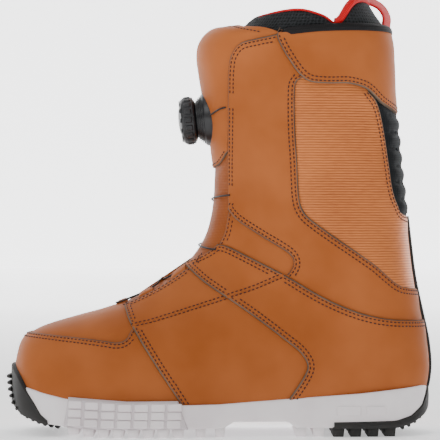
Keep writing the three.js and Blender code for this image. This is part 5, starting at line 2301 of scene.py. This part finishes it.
# ---------------------------------------------------------------- dial and cable
@dataclass
class Dial:
    """The turning knob that winds the cable, on its ribbed base."""

    finishes: Finishes
    centre: tuple = (-8.667, 0.0, 223.0)
    tilt: float = 6.0
    flange: float = 20.0
    flange_thick: float = 1.7
    grip_ribs: int = 18
    grip_radius: float = 16.2  # where the grip's ribs stand
    grip_middle: float = 13.6
    bars: int = 12
    bar_radius: float = 13.4
    bar_height: float = 18.9
    # profiles as [radius, height above the tongue], from the back to the front
    cone_foot: tuple = ((19.6, -8.5), (19.4, -3), (19.0, 1.4), (18.4, 2.6), (17.6, 3.0))
    cone_steps: int = 4
    cone_neck: tuple = ((12.7, 8.1), (12.5, 9.0), (0.5, 9.0))
    knob: tuple = (
        (3, 9.25), (12.9, 9.25), (13.1, 8.5), (13.5, 8.35), (14.4, 8.8), (15.1, 9.5), (15.3, 10.6),
        (15.8, 17.2), (15.3, 18.2), (14.0, 19.0), (12.2, 19.6), (11.6, 19.7), (11.3, 19.2), (9.6, 19.2),
        (3, 19.2),
    )
    grip: tuple = ((14.9, 9.6), (15.9, 9.6), (16.4, 10.2), (16.5, 13), (16.5, 16.2), (16.1, 17.2), (14.9, 17.6))
    dome: tuple = ((8.6, 18.9), (9.2, 19.3), (9.0, 19.9), (7.6, 20.4), (5.2, 20.8), (2.4, 21.0), (0.1, 21.05))

    def __post_init__(self) -> None:
        """Works out the axis."""
        a = math.radians(self.tilt)
        self.axis = np.array([-math.cos(a), 0, -math.sin(a)])
        self.up = np.array([-math.sin(a), 0, math.cos(a)])
        self.side = np.cross(self.up, self.axis)

    def place(self, radius: np.ndarray, angle: np.ndarray, height: np.ndarray) -> Path:
        """Points at a radius, an angle about the axis and a height above the tongue."""
        flat = (
            self.side[None] * (radius * np.cos(angle))[:, None]
            + self.up[None] * (radius * np.sin(angle))[:, None]
        )
        return np.asarray(self.centre) + flat + self.axis[None] * height[:, None]

    def lathe(
        self, name: str, profile: Sequence, finish: bpy.types.Material, around: int = 96
    ) -> bpy.types.Object:
        """A closed turned piece; the profile's [radius, height] points run from the back to the front.

        Args:
            name: the part's name.
            profile: its points.
            finish: its material.
            around: vertices round it.

        Returns:
            The mesh object.
        """
        rows = [self.place(
            np.full(around, max(r, 0.02)), TURN * np.arange(around) / around, np.full(around, h)
        ) for r, h in profile]
        faces = band(len(rows), around)
        faces += [tuple(range(around))[::-1], tuple((len(rows) - 1) * around + j for j in range(around))]
        return mesh_object(name, np.vstack(rows), faces, [finish], sharp=36)

    def build(self) -> None:
        """Makes the dial's pieces."""
        black, soft = self.finishes.nylon, self.finishes.soft_plastic
        seat(self.flange_piece(), TONGUE, "dial_flange", slot=slot_of("dial_flange"))
        base = list(self.cone_foot)
        for k in range(self.cone_steps):
            r, h = 17.2 - 1.0 * k, 3.3 + 1.15 * k
            base += [(r + 0.3, h), (r + 0.1, h + 0.5), (r - 1.3, h + 0.7), (r - 1.35, h + 1.05)]
        base += self.cone_neck
        housing = self.lathe("dial_housing_cone", base, black)
        seat(housing, TONGUE, "dial_housing", slot=slot_of("dial_housing"))
        body = joined("dial_knob_body", [self.lathe("knob", self.knob, black), self.windows(black)])
        seat(body, "knob", "dial_knob", slot=slot_of("dial_knob"))
        grip = joined("dial_grip_ring", [self.lathe("grip", self.grip, soft), self.ribs(soft)])
        seat(grip, "knob", "dial_grip", slot=slot_of("dial_grip"))
        seat(self.lathe("dial_cap_dome", self.dome, black), "knob", "dial_cap", slot=slot_of("dial_cap"))

    def flange_piece(self) -> bpy.types.Object:
        """The thin flange, which follows the tongue's curve.

        Returns:
            The mesh object.
        """
        around = 72
        angle = TURN * np.arange(around) / around
        layers = []
        for radius, height in (
            (2.0, 0.2),
            (10, 0.2),
            (self.flange, 0.2),
            (self.flange, 1.1),
            (self.flange - 0.8, self.flange_thick),
            (10, self.flange_thick),
            (2.0, self.flange_thick),
        ):
            layers.append(skin_points(radius * np.cos(angle), self.centre[2] + radius * np.sin(angle), height))
        faces = band(len(layers), around, tube=True)
        return mesh_object("dial_flange_pad", np.vstack(layers), faces, [self.finishes.soft_plastic])

    def ribs(self, finish: bpy.types.Material) -> bpy.types.Object:
        """The ribs round the grip.

        Args:
            finish: its material.

        Returns:
            The mesh object.
        """
        ribs = Scatter("ribs")
        angle = TURN * np.arange(self.grip_ribs) / self.grip_ribs
        height = np.full(len(angle), self.grip_middle)
        points = self.place(np.full(len(angle), self.grip_radius), angle, height)
        out = points - self.place(np.zeros(len(angle)), angle, height)
        ribs.add(points, out / self.grip_radius, self.axis, (5.4, 4.2, 0.95))
        return ribs.build(block(0.16, 0.72), finish)

    def windows(self, finish: bpy.types.Material) -> bpy.types.Object:
        """The raised bars on the knob's front shoulder.

        Args:
            finish: its material.

        Returns:
            The mesh object.
        """
        bars = Scatter("bars")
        angle = TURN * np.arange(self.bars) / self.bars
        height = np.full(self.bars, self.bar_height)
        points = self.place(np.full(self.bars, self.bar_radius), angle, height)
        out = points - self.place(np.zeros(self.bars), angle, height)
        bars.add(points, self.axis, out / self.bar_radius, (2.6, 3.2, 0.7))
        return bars.build(block(0.12, 0.8), finish)


def skin_points(y: np.ndarray, z: np.ndarray, proud: float | np.ndarray) -> Path:
    """Points above the front of the leg at a given y and height z.

    Args:
        y: positions across.
        z: heights.
        proud: distance off the form.

    Returns:
        The points.
    """
    u, angle = np.full(len(y), 17.5), y / 46.0
    for _ in range(40):
        at = FORM.base(u, angle)
        u = np.clip(u + (z - at[:, 2]) / 16, 7, 25.5)
        angle = np.clip(angle + (y - at[:, 1]) / 48, -1.2, 1.2)
    return FORM.point(u, angle, proud)


@dataclass
class Lace:
    """The steel cable, in the stretches that show between the guides and the dial."""

    finishes: Finishes
    diameter: float = 1.2
    proud: float = 1.5

    def strand(self, name: str, path: Path) -> bpy.types.Object:
        """A round strand along a path."""
        return sweep(name, resample(path, 1.2), self.diameter / 2, self.finishes.cable, 10)

    def over_tongue(self, degrees: np.ndarray, z: np.ndarray, proud: np.ndarray | float) -> Path:
        """Points over the front of the leg at angles and heights.

        Args:
            degrees: angles round the leg.
            z: heights.
            proud: distance off the form.

        Returns:
            The points.
        """
        angle = np.radians(degrees)
        u = np.full(len(angle), 15.0)
        for _ in range(40):
            u = np.clip(u + (z - FORM.base(u, angle)[:, 2]) / 16, 7, 25.5)
        return FORM.point(u, angle, proud)

    def build(self) -> None:
        """Makes the strands: those over the tongue follow its surface but are not attached to it, and the rest
        stay on the instep.
        """
        for side, word in ((-1, "lateral"), (1, "medial")):
            lead = self.over_tongue(
                side * np.array([25.0, 29, 33, 37, 41.5]),
                np.array([224.8, 226.2, 227.6, 228.8, 229.6]),
                np.array([3.6, 2.6, 2.1, 1.9, 0.4]),
            )
            piece = self.strand(f"cable_lead_{word}", lead)
            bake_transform(piece)
            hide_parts(f"cable_dial_{word}")
        for name, reach, low, high in (("upper", 32.5, 168.5, 163), ("lower", 29, 129.4, 135.5)):
            degrees = np.linspace(-reach, reach, 13)
            line = resample(self.over_tongue(degrees, np.linspace(low, high, 13), 2.0), 1.2)
            half = len(line) // 2
            for part, word in ((line[: half + 1][::-1], "lateral"), (line[half:], "medial")):
                piece = sweep(f"cable_{name}_{word}", part, self.diameter / 2, self.finishes.cable)
                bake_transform(piece)
                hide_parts(f"cable_{name}")
        self.instep()

    def instep(self) -> None:
        """The crossing and the front turn of the cable, on the throat strip."""
        from_y, to_y = 4.5, 12.5
        middle = (from_y + to_y) / 2
        for name, side, lift in (("under", -1, 0.0), ("over", 1, 1.5)):
            t = np.linspace(0, 1, 9)
            x = -36 - 10 * t
            y = side * middle * (1 - 2 * t)
            x[0], x[-1] = -32, -50
            z = instep_height(x, y) + self.proud + lift * (1 - np.abs(2 * t - 1))
            piece = self.strand(f"cable_crossing_{name}", np.column_stack([x, y, z]))
            seat(piece, BODY, f"cable_cross_{name}", slot=slot_of(f"cable_cross_{name}"))
        turn = np.array([
            (-55, -8.5), (-62, -6.2), (-69, -5.4), (-72.5, -4.2), (-74, 0), (-72.5, 4.2), (-69, 5.4),
            (-62, 6.2), (-55, 8.5),
        ])
        z = instep_height(turn[:, 0], turn[:, 1]) + self.proud
        piece = self.strand("cable_front_turn", np.column_stack([turn, z]))
        seat(piece, BODY, "cable_toe", slot=slot_of("cable_toe"))


# ---------------------------------------------------------------- the rest
def dress_inside(finishes: Finishes) -> None:
    """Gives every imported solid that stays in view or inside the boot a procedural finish.

    Args:
        finishes: the materials.
    """
    hidden = {
        "lasting_board": finishes.board,
        "shank": finishes.cable,
        "heel_pad": finishes.foam,
        "footbed": finishes.mesh,
        "shell_lining": finishes.binding,
        "tongue_lining": finishes.binding,
        "toe_puff": finishes.board,
        "heel_counter": finishes.board,
    }
    for name, node in frame["nodes"].items():
        finish = hidden.get(name, finishes.nylon)
        node.data.materials.clear()
        node.data.materials.append(finish)
        if not node.data.uv_layers.get("pattern"):
            layer = node.data.uv_layers.new(name="pattern")
            for loop in node.data.loops:
                at = node.data.vertices[loop.vertex_index].co
                layer.data[loop.index].uv = (at.x + at.y, at.z + at.y)


@dataclass(frozen=True)
class Studio:
    """A pale floor and plain soft light from above and both sides."""

    floor: str = "#f6f6f7"
    world: float = 0.3
    near_glow: float = 0.5  # the white sweep is lit from within, less so round the boot
    far_glow: float = 2.1

    def build(self) -> None:
        """Makes the floor, the lamps, the backdrop and the camera."""
        self.sheet("table", [(-12, -12, 0), (12, -12, 0), (12, 6, 0), (-12, 6, 0)])
        self.sheet("backdrop", [(-12, 5.5, -0.5), (12, 5.5, -0.5), (12, 5.5, 9), (-12, 5.5, 9)])
        world = bpy.context.scene.world or bpy.data.worlds.new("studio")
        bpy.context.scene.world = world
        world.use_nodes = True
        background = world.node_tree.nodes["Background"]
        background.inputs["Color"].default_value = (1, 1, 1, 1)
        background.inputs["Strength"].default_value = self.world
        self.lamp("key", (-0.9, -1.5, 1.5), 1.2, 14)
        self.lamp("fill", (1.2, -1.4, 0.9), 1.4, 3)
        self.lamp("top", (-0.2, -0.2, 1.9), 1.6, 8)
        camera = bpy.data.objects.new("camera", bpy.data.cameras.new("camera"))
        camera.data.lens, camera.data.sensor_width = 183.7, 36
        camera.location = (0, -1.6, 0.1509)
        camera.rotation_euler = (math.pi / 2, 0, 0)
        bpy.context.scene.collection.objects.link(camera)
        bpy.context.scene.camera = camera

    def sheet(self, name: str, corners: list) -> None:
        """A white surface of the studio, which glows more the farther it is from the boot.

        Args:
            name: its name.
            corners: its corners in metres.
        """
        n = Nodes(f"studio_{name}", Base_Color=linear(self.floor), Roughness=0.9)
        n.shader.inputs["Emission Color"].default_value = (1, 1, 1, 1)
        at = n.add("TexCoord").outputs["Object"]
        away = n.add("VectorMath", {0: at}, operation="LENGTH").outputs["Value"]
        reach = {
            "Value": away, "From Min": 0.5, "From Max": 2.4, "To Min": self.near_glow, "To Max": self.far_glow
        }
        n.tree.links.new(n.add("MapRange", reach).outputs["Result"], n.shader.inputs["Emission Strength"])
        waves = n.add("TexNoise", {"Vector": at, "Scale": per(400), "Detail": 1}).outputs["Fac"]
        n.relief([(waves, 0.05, 0.1)])
        mesh = bpy.data.meshes.new(name)
        mesh.from_pydata(corners, [], [(0, 1, 2, 3)])
        mesh.materials.append(n.material)
        obj = bpy.data.objects.new(name, mesh)
        bpy.context.scene.collection.objects.link(obj)

    def lamp(self, name: str, at: tuple, size: float, power: float) -> None:
        """A soft square lamp that faces the boot.

        Args:
            name: its name.
            at: its place.
            size: its side, in metres.
            power: its power, in watts.
        """
        data = bpy.data.lights.new(name, "AREA")
        data.size, data.energy = size, power
        lamp = bpy.data.objects.new(name, data)
        lamp.location = at
        lamp.rotation_euler = (Vector((0, 0, 0.15)) - Vector(at)).to_track_quat("-Z", "Y").to_euler()
        bpy.context.scene.collection.objects.link(lamp)


def main() -> None:
    """Builds the boot in order: upper, sole, liner, dial, cable, inside and studio."""
    logging.basicConfig(level=logging.INFO, format="%(message)s")
    finishes = Finishes()
    Upper(finishes).build()
    Sole(finishes).build()
    Liner(finishes).build()
    Dial(finishes).build()
    Lace(finishes).build()
    dress_inside(finishes)
    Studio().build()


if __name__ == "__main__":
    main()
